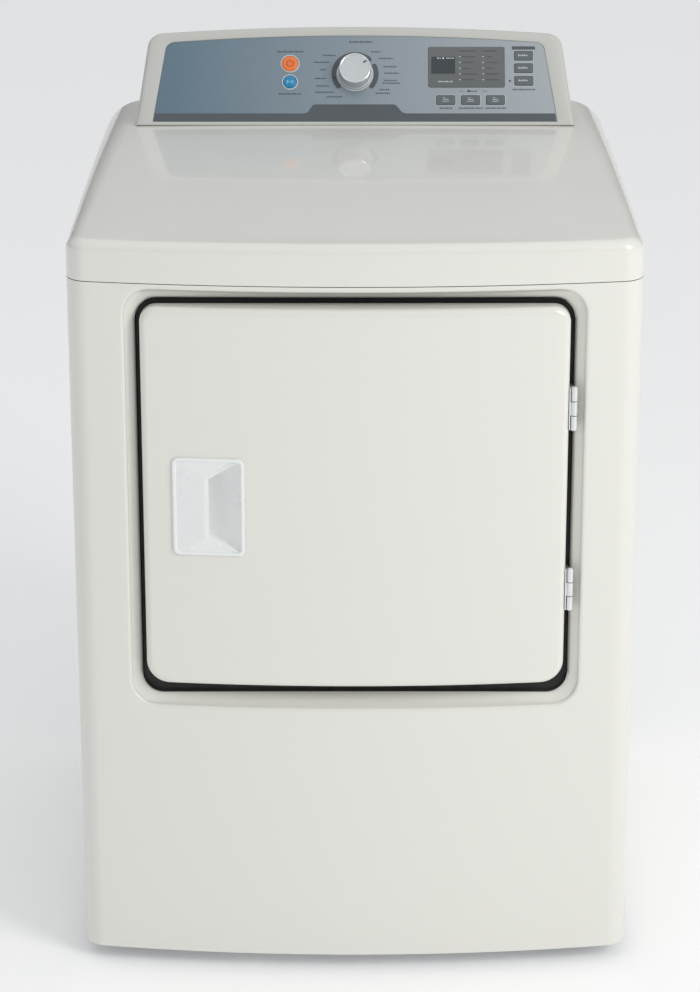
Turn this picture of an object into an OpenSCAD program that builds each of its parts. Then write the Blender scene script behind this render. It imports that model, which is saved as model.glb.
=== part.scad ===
// Front-loading vented tumble dryer with a raised control console.
// Millimetres. X is to the right seen from the front, Y to the rear, Z up.
// The origin is on the floor, under the middle of the machine.

/* [Cabinet] */
// Width of the cabinet across the side panels
cab_w = 690; // [670:1:700]
// Depth of the side panels, from the front corners to the rear panel
cab_d = 650; // [630:1:670]
// How far the front panel bows out at its middle
bow = 29; // [20:1:32]
// Radius of the upright front corners
corner_r = 30; // [15:1:35]
// Height of the cabinet's lower edge above the floor
base_z = 20; // [14:1:24]
// Height of the seam between the cabinet and the top panel
seam_z = 903; // [890:1:910]
// Thickness of the painted sheet
sheet = 1.2; // [0.8:0.1:2]

/* [Top panel] */
// Height of the front lip of the top panel
lip_h = 50; // [40:1:55]
// Rise of the top surface from the front lip to the console
crown = 18; // [0:1:22]
// Fall of the top surface from its middle to its sides
side_fall = 1.5; // [1:0.1:2]

/* [Door] */
// Width of the door
door_w = 514; // [500:1:520]
// Height of the door
door_h = 484; // [470:1:490]
// Height of the middle of the door above the floor
door_z = 633; // [628:1:640]
// How far the door stands proud of the front panel
door_proud = 6; // [3:0.5:8]

/* [Console] */
// Lean of the control fascia back from upright, in degrees
lean = 35; // [30:1:40]
// Height of the console face along its slope
face_h = 140; // [132:1:144]
// Rise of the console's top edge from its corners to its middle
arch = 9; // [0:0.5:10]
// Distance from the front corners back to the console's foot
console_y = 500; // [490:1:505]

/* [Drum] */
// Outside radius of the drum
drum_r = 312; // [300:1:313]
// Height of the drum's axis
drum_z = 570; // [566:1:572]
// Outside radius of the exhaust outlet
duct_r = 50; // [48:0.5:51]

/* [Hidden] */

fn_fine = 96;
// Front corner plane, rear face and the centre of the bow
corner_y = -325;
rear_y = corner_y + cab_d;
bow_r = cab_w * cab_w / (8 * bow) + bow / 2;
bow_cy = corner_y - bow + bow_r;
floor_y = corner_y + 5;
// Door recess: half sizes at the face of the panel and at its floor
recess_out = [275, 267];
recess_in = [263, 253];
recess_z = door_z - 5.5;
// Opening into the drum
open_w = 440;
open_h = 380;
open_r = 100;
open_z = 635;
// Drum
drum_front = -272;
drum_rear = 284;
drum_sheet = 1.2;
rim_r = 304;
belt_y = 25;
belt_w = 12;
belt_t = 3;
bulkhead_y = drum_front - 7;
rear_bulk_y = drum_rear + 5;
// Motor, blower and belt run
motor_z = 130;
pulley_r = 12;
idler_r = 24;
motor_r = 62;
bell_r = 52;
idler_run = 92;
belt_angle = asin((drum_r + 0.4 - pulley_r - 0.3) / (drum_z - motor_z));
idler_off = pulley_r + 0.3 + belt_t + 0.4 + idler_r;
idler_x = -idler_run * sin(belt_angle) - idler_off * cos(belt_angle);
idler_z = motor_z + idler_run * cos(belt_angle) - idler_off * sin(belt_angle);
pivot_x = -150;
pivot_z = 66;
duct_x = 170;
duct_z = 104;
duct_wall = 1.5;
outlet_y = 360;
// Console
foot_z = seam_z + lip_h + crown + 0.3;
foot_y = corner_y + console_y;
frame_half = 291;
frame_taper = 0.125;
frame_round = 22;
fascia_half = 268.5;
fascia_taper = 0.15;
fascia_low = 5;
fascia_high = 127;
ring_x = 0;
ring_l = 72.6;
// Hinge axis and barrels
hinge_x = 263;
hinge_y = -338;
barrel_r = 4.2;
hinge_pin_r = 2.2;
hinge_h = 54;
hinge_zs = [514, 747];
// Handle cup
cup_x = -177;
cup_z = 626;
cup_w = 88;
cup_h = 125;
cup_y = bow_cy - sqrt(pow(bow_r + door_proud, 2) - cup_x * cup_x);
cup_turn = asin(cup_x / (bow_r + door_proud));
// Feet
foot_r = 19;
foot_x = 288;
foot_ys = [-268, 272];

cream = [0.86, 0.85, 0.81];
zinc = [0.68, 0.70, 0.72];
dark = [0.22, 0.24, 0.26];
silver = [0.76, 0.79, 0.81];
slate = [0.47, 0.52, 0.57];

// ---------- shared shapes ----------

// A rounded rectangle with true arcs, centred on the origin
module rounded(w, h, r) {
    square([w - 2 * r, h], center = true);
    square([w, h - 2 * r], center = true);
    for (x = [-1, 1], y = [-1, 1]) translate([x * (w / 2 - r), y * (h / 2 - r)]) circle(r = r, $fn = fn_fine);
}

// Extrudes a shape drawn in X and Z along Y, from y0 to y1
module along_y(y0, y1) {
    translate([0, y1, 0]) rotate([90, 0, 0]) linear_extrude(y1 - y0) children();
}

// A cylinder along Y from y0 to y1 with its axis at x and z
module rod_y(x, z, r, y0, y1) {
    translate([x, y1, z]) rotate([90, 0, 0]) cylinder(r = r, h = y1 - y0, $fn = fn_fine);
}

module tube_y(x, z, r_out, r_in, y0, y1) {
    difference() {
        rod_y(x, z, r_out, y0, y1);
        rod_y(x, z, r_in, y0 - 1, y1 + 1);
    }
}

// The cabinet's outline seen from above, moved in by inset
module outline(inset = 0) {
    offset(delta = -inset) offset(r = corner_r, $fn = 64) offset(delta = -corner_r) intersection() {
        translate([-cab_w / 2, corner_y - 60]) square([cab_w, cab_d + 60 + corner_r * 2]);
        translate([0, bow_cy]) circle(r = bow_r, $fn = 720);
    }
}

module slab(y0, y1) {
    translate([-cab_w, y0]) square([2 * cab_w, y1 - y0]);
}

// Turns the console face's own frame (x, distance up the face, distance out of it) into place
module on_face() {
    translate([0, foot_y, foot_z]) rotate([90 - lean, 0, 0]) children();
}

// ---------- cabinet ----------

module base_pan() {
    tray_h = 24;
    color(zinc) difference() {
        translate([0, 0, base_z + 0.5]) linear_extrude(tray_h) intersection() {
            outline(sheet + 0.5);
            slab(corner_y - bow, rear_y - sheet - 0.5);
        }
        translate([0, 0, base_z + 0.5 + sheet]) linear_extrude(tray_h) intersection() {
            outline(2 * sheet + 0.5);
            slab(corner_y - bow, rear_y - 2 * sheet - 0.5);
        }
        for (x = [-1, 1], y = foot_ys)
            translate([x * foot_x, y, base_z - 1]) cylinder(r = 5.05, h = 8, $fn = 48);
    }
}

module side_panel(side) {
    join_y = corner_y + 42;
    color(cream) translate([0, 0, base_z]) linear_extrude(seam_z - base_z - 1) {
        x_out = side * cab_w / 2;
        x_in = side * (cab_w / 2 - sheet);
        polygon([
            [x_out, join_y], [x_in, join_y],
            [x_in, rear_y - sheet - 0.3], [x_out, rear_y - sheet - 0.3]
        ]);
    }
    flange = 14;
    color(cream) translate([min(side * (cab_w / 2 - sheet), side * (cab_w / 2 - sheet - flange)),
        rear_y - 2 * sheet - 0.3, base_z + 30]) cube([flange, sheet, seam_z - base_z - 40]);
}

module left_side_panel() side_panel(-1);

module right_side_panel() side_panel(1);

module rear_panel() {
    slot_n = 9;
    color(zinc) difference() {
        along_y(rear_y - sheet, rear_y) translate([0, (base_z + seam_z - 1) / 2])
            square([cab_w, seam_z - 1 - base_z], center = true);
        rod_y(duct_x, duct_z, duct_r + 1, rear_y - 5, rear_y + 5);
        for (side = [-1, 1], i = [0 : slot_n - 1])
            translate([side * 200 - 45, rear_y - 5, 520 + i * 24]) cube([90, 10, 8]);
        translate([220, rear_y - 5, 780]) cube([70, 10, 50]);
    }
}

module recess(grow, floor_at) {
    depth_y = corner_y - bow - 5;
    hull() {
        along_y(depth_y, depth_y + 1) translate([0, recess_z])
            rounded(2 * (recess_out[0] + 4 + grow), 2 * (recess_out[1] + 4 + grow), 34);
        along_y(floor_at - 1, floor_at) translate([0, recess_z])
            rounded(2 * (recess_in[0] + grow), 2 * (recess_in[1] + grow), 26);
    }
}

module front_panel() {
    top = seam_z - 1;
    color(cream) difference() {
        union() {
            difference() {
                translate([0, 0, base_z]) linear_extrude(top - base_z) difference() {
                    outline();
                    outline(sheet);
                    slab(corner_y + 41.5, rear_y + 100);
                }
                recess(0.01, floor_y + 1);
            }
            intersection() {
                translate([0, 0, base_z]) linear_extrude(top - base_z) outline(0.5);
                difference() {
                    recess(sheet, floor_y + sheet);
                    recess(0, floor_y);
                }
            }
        }
        along_y(floor_y - 5, floor_y + 10) translate([0, open_z]) rounded(open_w, open_h, open_r);
        translate([-245, floor_y - 5, cup_z - 14]) cube([9, 15, 28]);
        rod_y(-215, 810, 3.2, floor_y - 5, floor_y + 10);
    }
}

// ---------- top panel ----------

// The cap is a grid. Its columns follow the rim forwards along the left side, round the bowed front
// and back along the right side. Its rows climb the lip, roll over the shoulder and cross the top to
// the middle. The shoulder is tight along the front and grows along the sides towards the rear.
front_n = 12;
turn_n = 7;
side_n = 14;
roll_n = 7;
flat_n = 6;
function depth_of(y) = max(0, min(1, (y - corner_y) / cab_d));
function crown_z(x, y) = let (fall = side_fall * pow(2 * x / cab_w, 2))
    seam_z + lip_h + crown * sin(95 * depth_of(y)) - fall;
// One half of the rim, from the middle of the front to the rear.
// Each row is [x, y, x share of the outward normal, y share].
function half_rim(g) =
    let (half = cab_w / 2 - 0.3 - g, big = bow_r - g, r = corner_r - g, rear = rear_y - 0.3 - g,
        turn_y = bow_cy - sqrt(pow(big - r, 2) - pow(half - r, 2)),
        a1 = asin((half - r) / (big - r)))
    concat(
        [for (i = [0 : front_n]) let (a = a1 * (i + 0.5) / (front_n + 0.5))
            [big * sin(a), bow_cy - big * cos(a), sin(a), -cos(a)]],
        [for (i = [1 : turn_n]) let (a = a1 + (90 - a1) * i / turn_n)
            [half - r + r * sin(a), turn_y - r * cos(a), sin(a), -cos(a)]],
        [for (i = [1 : side_n]) [half, turn_y + (rear - turn_y) * i / side_n, 1, 0]]);
function mirrored(p) = [-p[0], p[1], -p[2], p[3]];
function reversed(list) = [for (i = [len(list) - 1 : -1 : 0]) list[i]];
function rim(g) = let (right = half_rim(g)) concat([for (p = reversed(right)) mirrored(p)], right);
// How far the shoulder reaches inwards and down at a rim point
function roll_in(p) = let (s = pow(abs(p[2]), 2)) s * (20 + 36 * depth_of(p[1])) + (1 - s) * 12;
function roll_down(p) = let (s = pow(abs(p[2]), 2)) s * (14 + 48 * depth_of(p[1])) + (1 - s) * 12;
function roll_point(p, t, g) =
    let (a = roll_in(p) * (1 - cos(t)), x = p[0] - p[2] * a, y = p[1] - p[3] * a)
    [x, y, crown_z(x, y) - g - roll_down(p) * (1 - sin(t))];
function flat_point(p, k, g) =
    let (e = roll_point(p, 90, g), middle_y = max(e[1], corner_y + 120), t = 0.96 * k / flat_n,
        x = e[0] * (1 - t), y = e[1] + (middle_y - e[1]) * t)
    [x, y, crown_z(x, y) - g];
function column(p, g, low) = concat(
    [[p[0], p[1], low]],
    [for (k = [0 : roll_n]) roll_point(p, 90 * k / roll_n, g)],
    [for (k = [1 : flat_n]) flat_point(p, k, g)]);

// Faces of one skin of the cap: its strips, the join along the middle and the wall at the rear
function skin(n, rows) =
    let (last = rows - 1)
    concat(
        [for (i = [0 : n - 2], k = [0 : rows - 2]) [i * rows + k, i * rows + k + 1, (i + 1) * rows + k + 1]],
        [for (i = [0 : n - 2], k = [0 : rows - 2])
            [i * rows + k, (i + 1) * rows + k + 1, (i + 1) * rows + k]],
        [for (i = [0 : n / 2 - 2]) let (j = n - 1 - i)
            [i * rows + last, j * rows + last, (i + 1) * rows + last]],
        [for (i = [0 : n / 2 - 2]) let (j = n - 1 - i)
            [(i + 1) * rows + last, j * rows + last, (j - 1) * rows + last]],
        [for (k = [0 : rows - 2]) let (far = (n - 1) * rows + k) [k + 1, k, far]],
        [for (k = [0 : rows - 2]) let (far = (n - 1) * rows + k) [k + 1, far, far + 1]]);

module top_panel() {
    outside = [for (p = rim(0)) column(p, 0, seam_z)];
    inside = [for (p = rim(sheet)) column(p, sheet, seam_z)];
    n = len(outside);
    rows = len(outside[0]);
    m = n * rows;
    faces = concat(
        skin(n, rows),
        [for (f = skin(n, rows)) [f[2] + m, f[1] + m, f[0] + m]],
        [for (i = [0 : n - 1]) let (j = (i + 1) % n) [i * rows, j * rows, j * rows + m]],
        [for (i = [0 : n - 1]) let (j = (i + 1) % n) [i * rows, j * rows + m, i * rows + m]]);
    color(cream)
        polyhedron(points = [for (c = concat(outside, inside), q = c) q], faces = faces, convexity = 6);
}

// ---------- bulkheads, bearing and seals ----------

module front_bulkhead() {
    collar_y0 = floor_y + sheet + 0.3;
    color(zinc) {
        difference() {
            along_y(bulkhead_y, bulkhead_y + sheet) translate([0, 546]) square([664, 690], center = true);
            along_y(bulkhead_y - 1, bulkhead_y + sheet + 1) translate([0, open_z])
                rounded(open_w, open_h, open_r);
            translate([-60, bulkhead_y - 1, 190]) cube([300, 6, 50]);
        }
        difference() {
            along_y(collar_y0, bulkhead_y) translate([0, open_z])
                rounded(open_w + 2 * sheet, open_h + 2 * sheet, open_r + sheet);
            along_y(collar_y0 - 1, bulkhead_y + 1) translate([0, open_z]) rounded(open_w, open_h, open_r);
            translate([-118, -307, open_z - open_h / 2 - 5]) cube([236, 21, 20]);
        }
        tube_y(0, drum_z, rim_r - 4, rim_r - 6.5, bulkhead_y + sheet, drum_front + 22);
    }
}

module rear_bulkhead() {
    color(zinc) difference() {
        along_y(rear_bulk_y, rear_bulk_y + sheet) translate([0, 526]) square([664, 724], center = true);
        rod_y(0, drum_z, 20, rear_bulk_y - 1, rear_bulk_y + 5);
        rod_y(duct_x, duct_z, duct_r + 1, rear_bulk_y - 1, rear_bulk_y + 5);
        for (a = [0 : 20 : 340], r = [110, 135, 160])
            rod_y(r * cos(a), drum_z + r * sin(a), 7, rear_bulk_y - 1, rear_bulk_y + 5);
    }
}

module drum_bearing() {
    color("ivory") difference() {
        union() {
            rod_y(0, drum_z, 20, rear_bulk_y, rear_bulk_y + 14);
            rod_y(0, drum_z, 34, rear_bulk_y + sheet, rear_bulk_y + 5);
        }
        rod_y(0, drum_z, 9.05, rear_bulk_y - 1, rear_bulk_y + 20);
    }
}

// Turns a profile of radius and depth about the drum's axis
module about_drum(start = 0, sweep = 360) {
    translate([0, 0, drum_z]) rotate([-90, 0, 0])
        rotate_extrude(angle = sweep, start = start, $fn = 180) children();
}

module drum_glides() {
    pad_y = drum_front + 1;
    color("ivory") for (a = [-50, -75, -105, -130]) about_drum(a - 6, 12)
        translate([rim_r - 4, pad_y]) square([3.7, 9]);
}

module front_felt_seal() {
    color("dimgray") about_drum() translate([rim_r - 4, drum_front + 12]) square([3.7, 9]);
}

module rear_felt_seal() {
    color("dimgray") about_drum()
        translate([280, drum_rear + 0.4]) square([16, rear_bulk_y - drum_rear - 0.4]);
}

// ---------- drum ----------

module drum_shell() {
    r = drum_r;
    s = drum_sheet;
    step = drum_front + 27;
    color(zinc) about_drum() polygon([
        [rim_r + s, drum_front], [rim_r + s, step], [r, step + 9], [r, drum_rear - 2],
        [r - s, drum_rear - 2], [r - s, step + 9.6], [rim_r, step + 0.6], [rim_r, drum_front]]);
}

module drum_back() {
    color(zinc) difference() {
        union() {
            rod_y(0, drum_z, drum_r, drum_rear - 2, drum_rear);
            rod_y(0, drum_z, 60, drum_rear - 8, drum_rear);
        }
        for (a = [0 : 15 : 345], r = [110, 140, 170])
            rod_y(r * cos(a), drum_z + r * sin(a), 5, drum_rear - 5, drum_rear + 1);
    }
}

module drum_baffles() {
    y0 = drum_front + 50;
    y1 = drum_rear - 14;
    color("ivory") for (a = [90, 210, 330]) along_y(y0, y1) translate([0, drum_z]) rotate(a) difference() {
        intersection() {
            hull() {
                translate([drum_r - 58, 0]) circle(r = 11, $fn = 32);
                translate([drum_r, 0]) square([8, 84], center = true);
            }
            circle(r = drum_r - drum_sheet, $fn = 180);
        }
        hull() {
            translate([drum_r - 56, 0]) circle(r = 7, $fn = 24);
            translate([drum_r - 6, 0]) square([1, 66], center = true);
        }
    }
}

module drum_axle() {
    color(silver) union() {
        rod_y(0, drum_z, 48, drum_rear, drum_rear + 2);
        rod_y(0, drum_z, 9, drum_rear, rear_bulk_y + 18);
    }
}

// ---------- belt drive ----------

module belt_loop(grow) {
    hull() {
        translate([0, drum_z]) circle(r = drum_r + 0.4 + grow, $fn = 180);
        translate([0, motor_z]) circle(r = pulley_r + 0.3 + grow, $fn = 60);
    }
}

module drive_belt() {
    color(dark) along_y(belt_y - belt_w / 2, belt_y + belt_w / 2) difference() {
        belt_loop(belt_t);
        belt_loop(0);
    }
}

module motor_housing() {
    color("dimgray") difference() {
        union() {
            rod_y(0, motor_z, motor_r, -222, -48);
            rod_y(0, motor_z, bell_r, -234, -36);
            rod_y(0, motor_z, 18, -238, -30);
        }
        rod_y(0, motor_z, 6.06, -240, -28);
    }
}

module motor_bracket() {
    floor_z = base_z + 0.5 + sheet + 0.2;
    plate = 3;
    color(zinc) {
        translate([-186, -238, floor_z]) cube([281, 290, plate]);
        for (y = [-233, -43]) along_y(y, y + 6) difference() {
            translate([-50, floor_z + plate]) square([100, motor_z - floor_z - plate - 14]);
            translate([0, motor_z]) circle(r = bell_r, $fn = fn_fine);
        }
        translate([pivot_x - 13, 44, floor_z + plate]) cube([26, 4, pivot_z - floor_z + 10]);
        rod_y(pivot_x, pivot_z, 5, 33, 44);
    }
}

module motor_shaft() {
    color(silver) {
        rod_y(0, motor_z, 6, -296, belt_y + 12);
        rod_y(0, motor_z, pulley_r, belt_y - 8, belt_y + 8);
        for (y = [belt_y - 10, belt_y + 7]) rod_y(0, motor_z, pulley_r + 4, y, y + 3);
    }
}

module blower_wheel() {
    vanes = 24;
    y0 = -290;
    y1 = -248;
    color("ivory") {
        difference() {
            union() {
                rod_y(0, motor_z, 84, y1 - 2, y1);
                rod_y(0, motor_z, 15, y0 + 6, y1);
            }
            rod_y(0, motor_z, 6, y0 - 1, y1 + 1);
        }
        tube_y(0, motor_z, 84, 66, y0, y0 + 2);
        for (i = [0 : vanes - 1]) translate([0, 0, motor_z]) rotate([0, i * 360 / vanes, 0])
            translate([66, y0 + 2, -0.8]) cube([17, y1 - y0 - 4, 1.6]);
    }
}

module scroll(grow) {
    translate([0, motor_z]) circle(r = 90 + grow, $fn = fn_fine);
    translate([0, duct_z - 52 - grow]) square([duct_x + 54 + grow, 108 + 2 * grow]);
}

module blower_housing() {
    y0 = -295;
    y1 = -241;
    color("gainsboro") difference() {
        along_y(y0, y1) scroll(2);
        along_y(y0 + 2, y1 - 2) scroll(0);
        rod_y(0, motor_z, 58, y0 - 1, y0 + 3);
        rod_y(0, motor_z, 8, y1 - 3, y1 + 1);
        rod_y(duct_x, duct_z, duct_r - duct_wall, y1 - 3, y1 + 1);
    }
}

module exhaust_duct() {
    collar_y = rear_y + 2;
    color(zinc) difference() {
        union() {
            rod_y(duct_x, duct_z, duct_r + 0.6, -241, collar_y);
            rod_y(duct_x, duct_z, duct_r, -241, outlet_y);
        }
        rod_y(duct_x, duct_z, duct_r - duct_wall, -242, outlet_y + 1);
    }
}

module idler_arm() {
    y0 = 37;
    y1 = 41;
    lever_x = pivot_x + 42;
    color(zinc) difference() {
        union() {
            along_y(y0, y1) {
                hull() {
                    translate([pivot_x, pivot_z]) circle(r = 11, $fn = 48);
                    translate([idler_x, idler_z]) circle(r = 9, $fn = 48);
                }
                hull() {
                    translate([pivot_x, pivot_z]) circle(r = 11, $fn = 48);
                    translate([lever_x, pivot_z]) circle(r = 7, $fn = 48);
                }
            }
            rod_y(idler_x, idler_z, 5, belt_y - 9, y0);
            rod_y(idler_x, idler_z, 8, belt_y + 9.5, y0);
        }
        rod_y(pivot_x, pivot_z, 5.05, y0 - 1, y1 + 1);
    }
}

module idler_pulley() {
    color(dark) difference() {
        rod_y(idler_x, idler_z, idler_r, belt_y - 9, belt_y + 9);
        rod_y(idler_x, idler_z, 5.05, belt_y - 10, belt_y + 10);
    }
}

// A coil spring from the arm's lever down to the bracket
module idler_spring() {
    x0 = pivot_x + 42;
    y0 = 30;
    z0 = base_z + 7;
    h = pivot_z - z0 - 2;
    turns = 7;
    per_turn = 14;
    sides = 8;
    coil_r = 5;
    wire_r = 0.8;
    n = turns * per_turn;
    pts = [for (k = [0 : n], j = [0 : sides - 1])
        let (a = 360 * k / per_turn, b = 360 * j / sides, r = coil_r + wire_r * cos(b))
        [x0 + r * cos(a), y0 + r * sin(a), z0 + h * k / n + wire_r * sin(b)]];
    faces = concat(
        [[for (j = [0 : sides - 1]) j]],
        [[for (j = [sides - 1 : -1 : 0]) n * sides + j]],
        [for (k = [0 : n - 1], j = [0 : sides - 1]) let (m = (j + 1) % sides)
            [k * sides + j, (k + 1) * sides + j, (k + 1) * sides + m]],
        [for (k = [0 : n - 1], j = [0 : sides - 1]) let (m = (j + 1) % sides)
            [k * sides + j, (k + 1) * sides + m, k * sides + m]]);
    color(silver) polyhedron(points = pts, faces = faces, convexity = 10);
}

// ---------- air path ----------

module lint_filter_housing() {
    w = 240;
    y0 = floor_y + sheet + 1.5;
    y1 = bulkhead_y - 2;
    top = open_z - open_h / 2 - sheet - 0.5;
    mid = 232;
    t = 2;
    color("gainsboro") difference() {
        union() {
            translate([-w / 2, y0, mid]) cube([w, y1 - y0, top - mid]);
            translate([-100, y0, 60]) cube([200, -295.3 - y0, mid - 60 + t]);
        }
        translate([-w / 2 + t, y0 + t, mid + t]) cube([w - 2 * t, y1 - y0 - 2 * t, top - mid]);
        translate([-100 + t, y0 + t, 60 + t]) cube([200 - 2 * t, -295.3 - y0 - 2 * t, mid - 60 + t]);
        rod_y(0, motor_z, 58, -299, -290);
    }
}

module lint_filter() {
    w = 226;
    y0 = -304;
    t = 14;
    low = 240;
    top = open_z - open_h / 2 + 7;
    color("ivory") {
        difference() {
            translate([-w / 2, y0, low]) cube([w, t, top - low]);
            for (x = [-1, 1], k = [0 : 2])
                translate([x * 54 - 48, y0 - 1, low + 10 + k * 58]) cube([96, t + 2, 50]);
            translate([-30, y0 + 3, top - 11]) cube([60, t - 6, 15]);
        }
        difference() {
            translate([-w / 2 + 4, y0 + 6, low + 6]) cube([w - 8, 1.2, 172]);
            for (i = [0 : 10]) translate([-w / 2 + 10 + i * 19, y0, low + 14]) cube([16, t, 2]);
        }
    }
}

// ---------- heater and terminals ----------

module heater_housing() {
    y0 = rear_bulk_y + sheet;
    y1 = rear_y - sheet - 4;
    color(zinc) difference() {
        rod_y(0, drum_z, 186, y0, y1);
        rod_y(0, drum_z, 184, y0 - 1, y1 - 2);
        rod_y(0, drum_z, 30, y1 - 3, y1 + 1);
    }
}

module heater_coil() {
    y = rear_bulk_y + 16;
    color("dimgray") {
        for (r = [90, 122, 154]) about_drum() translate([r, y]) circle(r = 3, $fn = 24);
        for (a = [0, 120, 240]) translate([0, 0, drum_z]) rotate([0, a, 0])
            translate([84, y - 5, -4]) cube([94, 10, 8]);
    }
}

module terminal_cover() {
    color(zinc) difference() {
        translate([208, rear_y, 764]) cube([94, 18, 82]);
        translate([210, rear_y - 1, 766]) cube([90, 17, 78]);
        rod_y(255, 800, 14, rear_y + 15, rear_y + 19);
    }
}

// ---------- console ----------

// Trapezium with round upper corners and an arched top, seen square on to the console face.
// half_foot is its half width at the foot of the face, and taper how much that shrinks for each mm up.
module face_outline(half_foot, taper, low, high, r) {
    shoulder = high - arch;
    top_half = half_foot - taper * (shoulder - r) - r;
    hull() {
        translate([-half_foot + taper * low, low]) square([2 * (half_foot - taper * low), 0.1]);
        for (x = [-1, 1]) translate([x * top_half, shoulder - r]) circle(r = r, $fn = 48);
        polygon([for (i = [-8 : 8]) [top_half * i / 8, high - arch * pow(i / 8, 2)]]);
    }
}

module console_body(inset) {
    s = face_h * sin(lean);
    c = face_h * cos(lean);
    intersection() {
        rotate([90, 0, 90]) translate([0, 0, -cab_w / 2]) linear_extrude(cab_w) offset(delta = -inset)
            offset(r = 7, $fn = 32) offset(delta = -7) polygon([
                [foot_y, foot_z], [foot_y + s, foot_z + c], [foot_y + s + 12, foot_z + c + 5],
                [rear_y - 18, foot_z + c - 24], [rear_y - 8, foot_z + 60], [rear_y - 6, foot_z]]);
        on_face() translate([0, 0, -200]) linear_extrude(400)
            face_outline(frame_half - inset, frame_taper, -160, face_h + 2 - inset, frame_round - inset);
    }
}

module fascia_outline(grow = 0) {
    face_outline(fascia_half + grow, fascia_taper, fascia_low - grow, fascia_high + grow, 13 + grow);
}

console_split = 290;

module console_frame() {
    color(cream) difference() {
        console_body(0);
        console_body(2.5);
        on_face() translate([0, 0, -8]) linear_extrude(20) fascia_outline(0.3);
        translate([-cab_w, console_split, foot_z - 50]) cube([2 * cab_w, 100, 300]);
    }
}

module console_rear_cover() {
    color(cream) difference() {
        console_body(0);
        console_body(2.5);
        translate([-cab_w, 0, foot_z - 50]) cube([2 * cab_w, console_split + 0.2, 300]);
    }
}

button_w = 25;
button_h = 13.8;
column_x = 224.5;
column_ls = [98.7, 80.9, 62.9];
row_l = 35.5;
row_xs = [120.5, 153.4, 186.4];
round_x = -86.5;
power_l = 87.1;
power_r = 10.8;
start_l = 60.9;
start_r = 9;
display_at = [148.3, 82.4];
display_size = [102, 58];

module on_panel(x, l, z = 0) {
    on_face() translate([x, l, z]) children();
}

module control_fascia() {
    gap = 0.4;
    color(slate) on_face() translate([0, 0, -3.2]) difference() {
        linear_extrude(2.2) fascia_outline();
        translate([ring_x, ring_l, -1]) cylinder(r = 3.6, h = 5, $fn = 48);
        translate([round_x, power_l, -1]) cylinder(r = power_r + gap, h = 5, $fn = 64);
        translate([round_x, start_l, -1]) cylinder(r = start_r + gap, h = 5, $fn = 64);
        for (l = column_ls) translate([column_x, l, -1]) linear_extrude(5)
            rounded(button_w + 2 * gap, button_h + 2 * gap, 2.4);
        for (x = row_xs) translate([x, row_l, -1]) linear_extrude(5)
            rounded(button_w + 2 * gap, button_h + 2 * gap, 2.4);
        translate([display_at[0], display_at[1], 1.2]) linear_extrude(5)
            rounded(display_size[0] + 0.2, display_size[1] + 0.2, 3.1);
    }
}

module display_window() {
    color(dark) on_panel(display_at[0], display_at[1], -2) linear_extrude(1.6)
        rounded(display_size[0], display_size[1], 3);
}

module control_board() {
    color("darkgreen") on_panel(0, 66, -30) linear_extrude(1.6) square([470, 84], center = true);
    color(silver) on_panel(ring_x, ring_l, -28.4) difference() {
        translate([-13, -13, 0]) cube([26, 26, 20]);
        translate([0, 0, 2]) cylinder(r = 3.05, h = 30, $fn = 48);
    }
}

module cycle_dial() {
    foot = -0.6;
    h = 22;
    cap_r = 21.2;
    color(silver) on_panel(ring_x, ring_l, foot) difference() {
        union() {
            cylinder(r = 22.6, h = 3, $fn = fn_fine);
            cylinder(r1 = 21.9, r2 = cap_r, h = h - 1.5, $fn = fn_fine);
            translate([0, 0, h - 1.5]) cylinder(r1 = cap_r, r2 = cap_r - 1.2, h = 1.5, $fn = fn_fine);
            translate([0, 0, -22]) cylinder(r = 3, h = 23, $fn = 48);
        }
        rotate(-52) translate([cap_r - 5.5, -1, h - 1]) cube([10, 2, 4]);
    }
}

module round_button(l, r) {
    on_panel(round_x, l, -9) union() {
        cylinder(r = r, h = 9.6, $fn = 64);
        translate([0, 0, 9.6]) cylinder(r1 = r, r2 = r - 1, h = 1, $fn = 64);
        translate([0, 0, -15]) cylinder(r = 2, h = 15, $fn = 32);
    }
}

module power_button() color("coral") round_button(power_l, power_r);

module start_button() color("dodgerblue") round_button(start_l, start_r);

module option_button(x, l) {
    color("slategray") on_panel(x, l, -8) union() {
        linear_extrude(8.6) rounded(button_w, button_h, 2);
        translate([0, 0, -15]) cylinder(r = 2, h = 15, $fn = 32);
    }
}

module option_button_upper() option_button(column_x, column_ls[0]);

module option_button_middle() option_button(column_x, column_ls[1]);

module option_button_lower() option_button(column_x, column_ls[2]);

module option_button_left() option_button(row_xs[0], row_l);

module option_button_centre() option_button(row_xs[1], row_l);

module option_button_right() option_button(row_xs[2], row_l);

// ---------- door ----------

door_back = -326;

// The door's envelope: a rounded rectangle under the bowed face, moved in by inset
module door_block(inset, y1) {
    intersection() {
        along_y(corner_y - bow - door_proud - 5, y1) translate([0, door_z]) hull() {
            for (x = [-1, 1]) {
                translate([x * (door_w / 2 - 20), door_h / 2 - 20]) circle(r = 20 - inset, $fn = 64);
                translate([x * (door_w / 2 - 28), -door_h / 2 + 28]) circle(r = 28 - inset, $fn = 64);
            }
        }
        translate([0, bow_cy, 0]) cylinder(r = bow_r + door_proud - inset, h = 1200, $fn = 720);
    }
}

// Sets a shape on the bowed face of the door at the handle, with Y pointing into the door
module at_cup() {
    translate([cup_x, cup_y, cup_z]) rotate([0, 0, cup_turn]) children();
}

module door_outer_panel() {
    color(cream) difference() {
        door_block(0, door_back);
        door_block(sheet, door_back + 1);
        at_cup() along_y(-10, 12) rounded(cup_w - 7, cup_h - 7, 6.5);
    }
}

module door_inner_panel() {
    color(cream) along_y(door_back, door_back + sheet) translate([0, door_z])
        rounded(door_w - 2, door_h - 2, 22);
}

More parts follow.
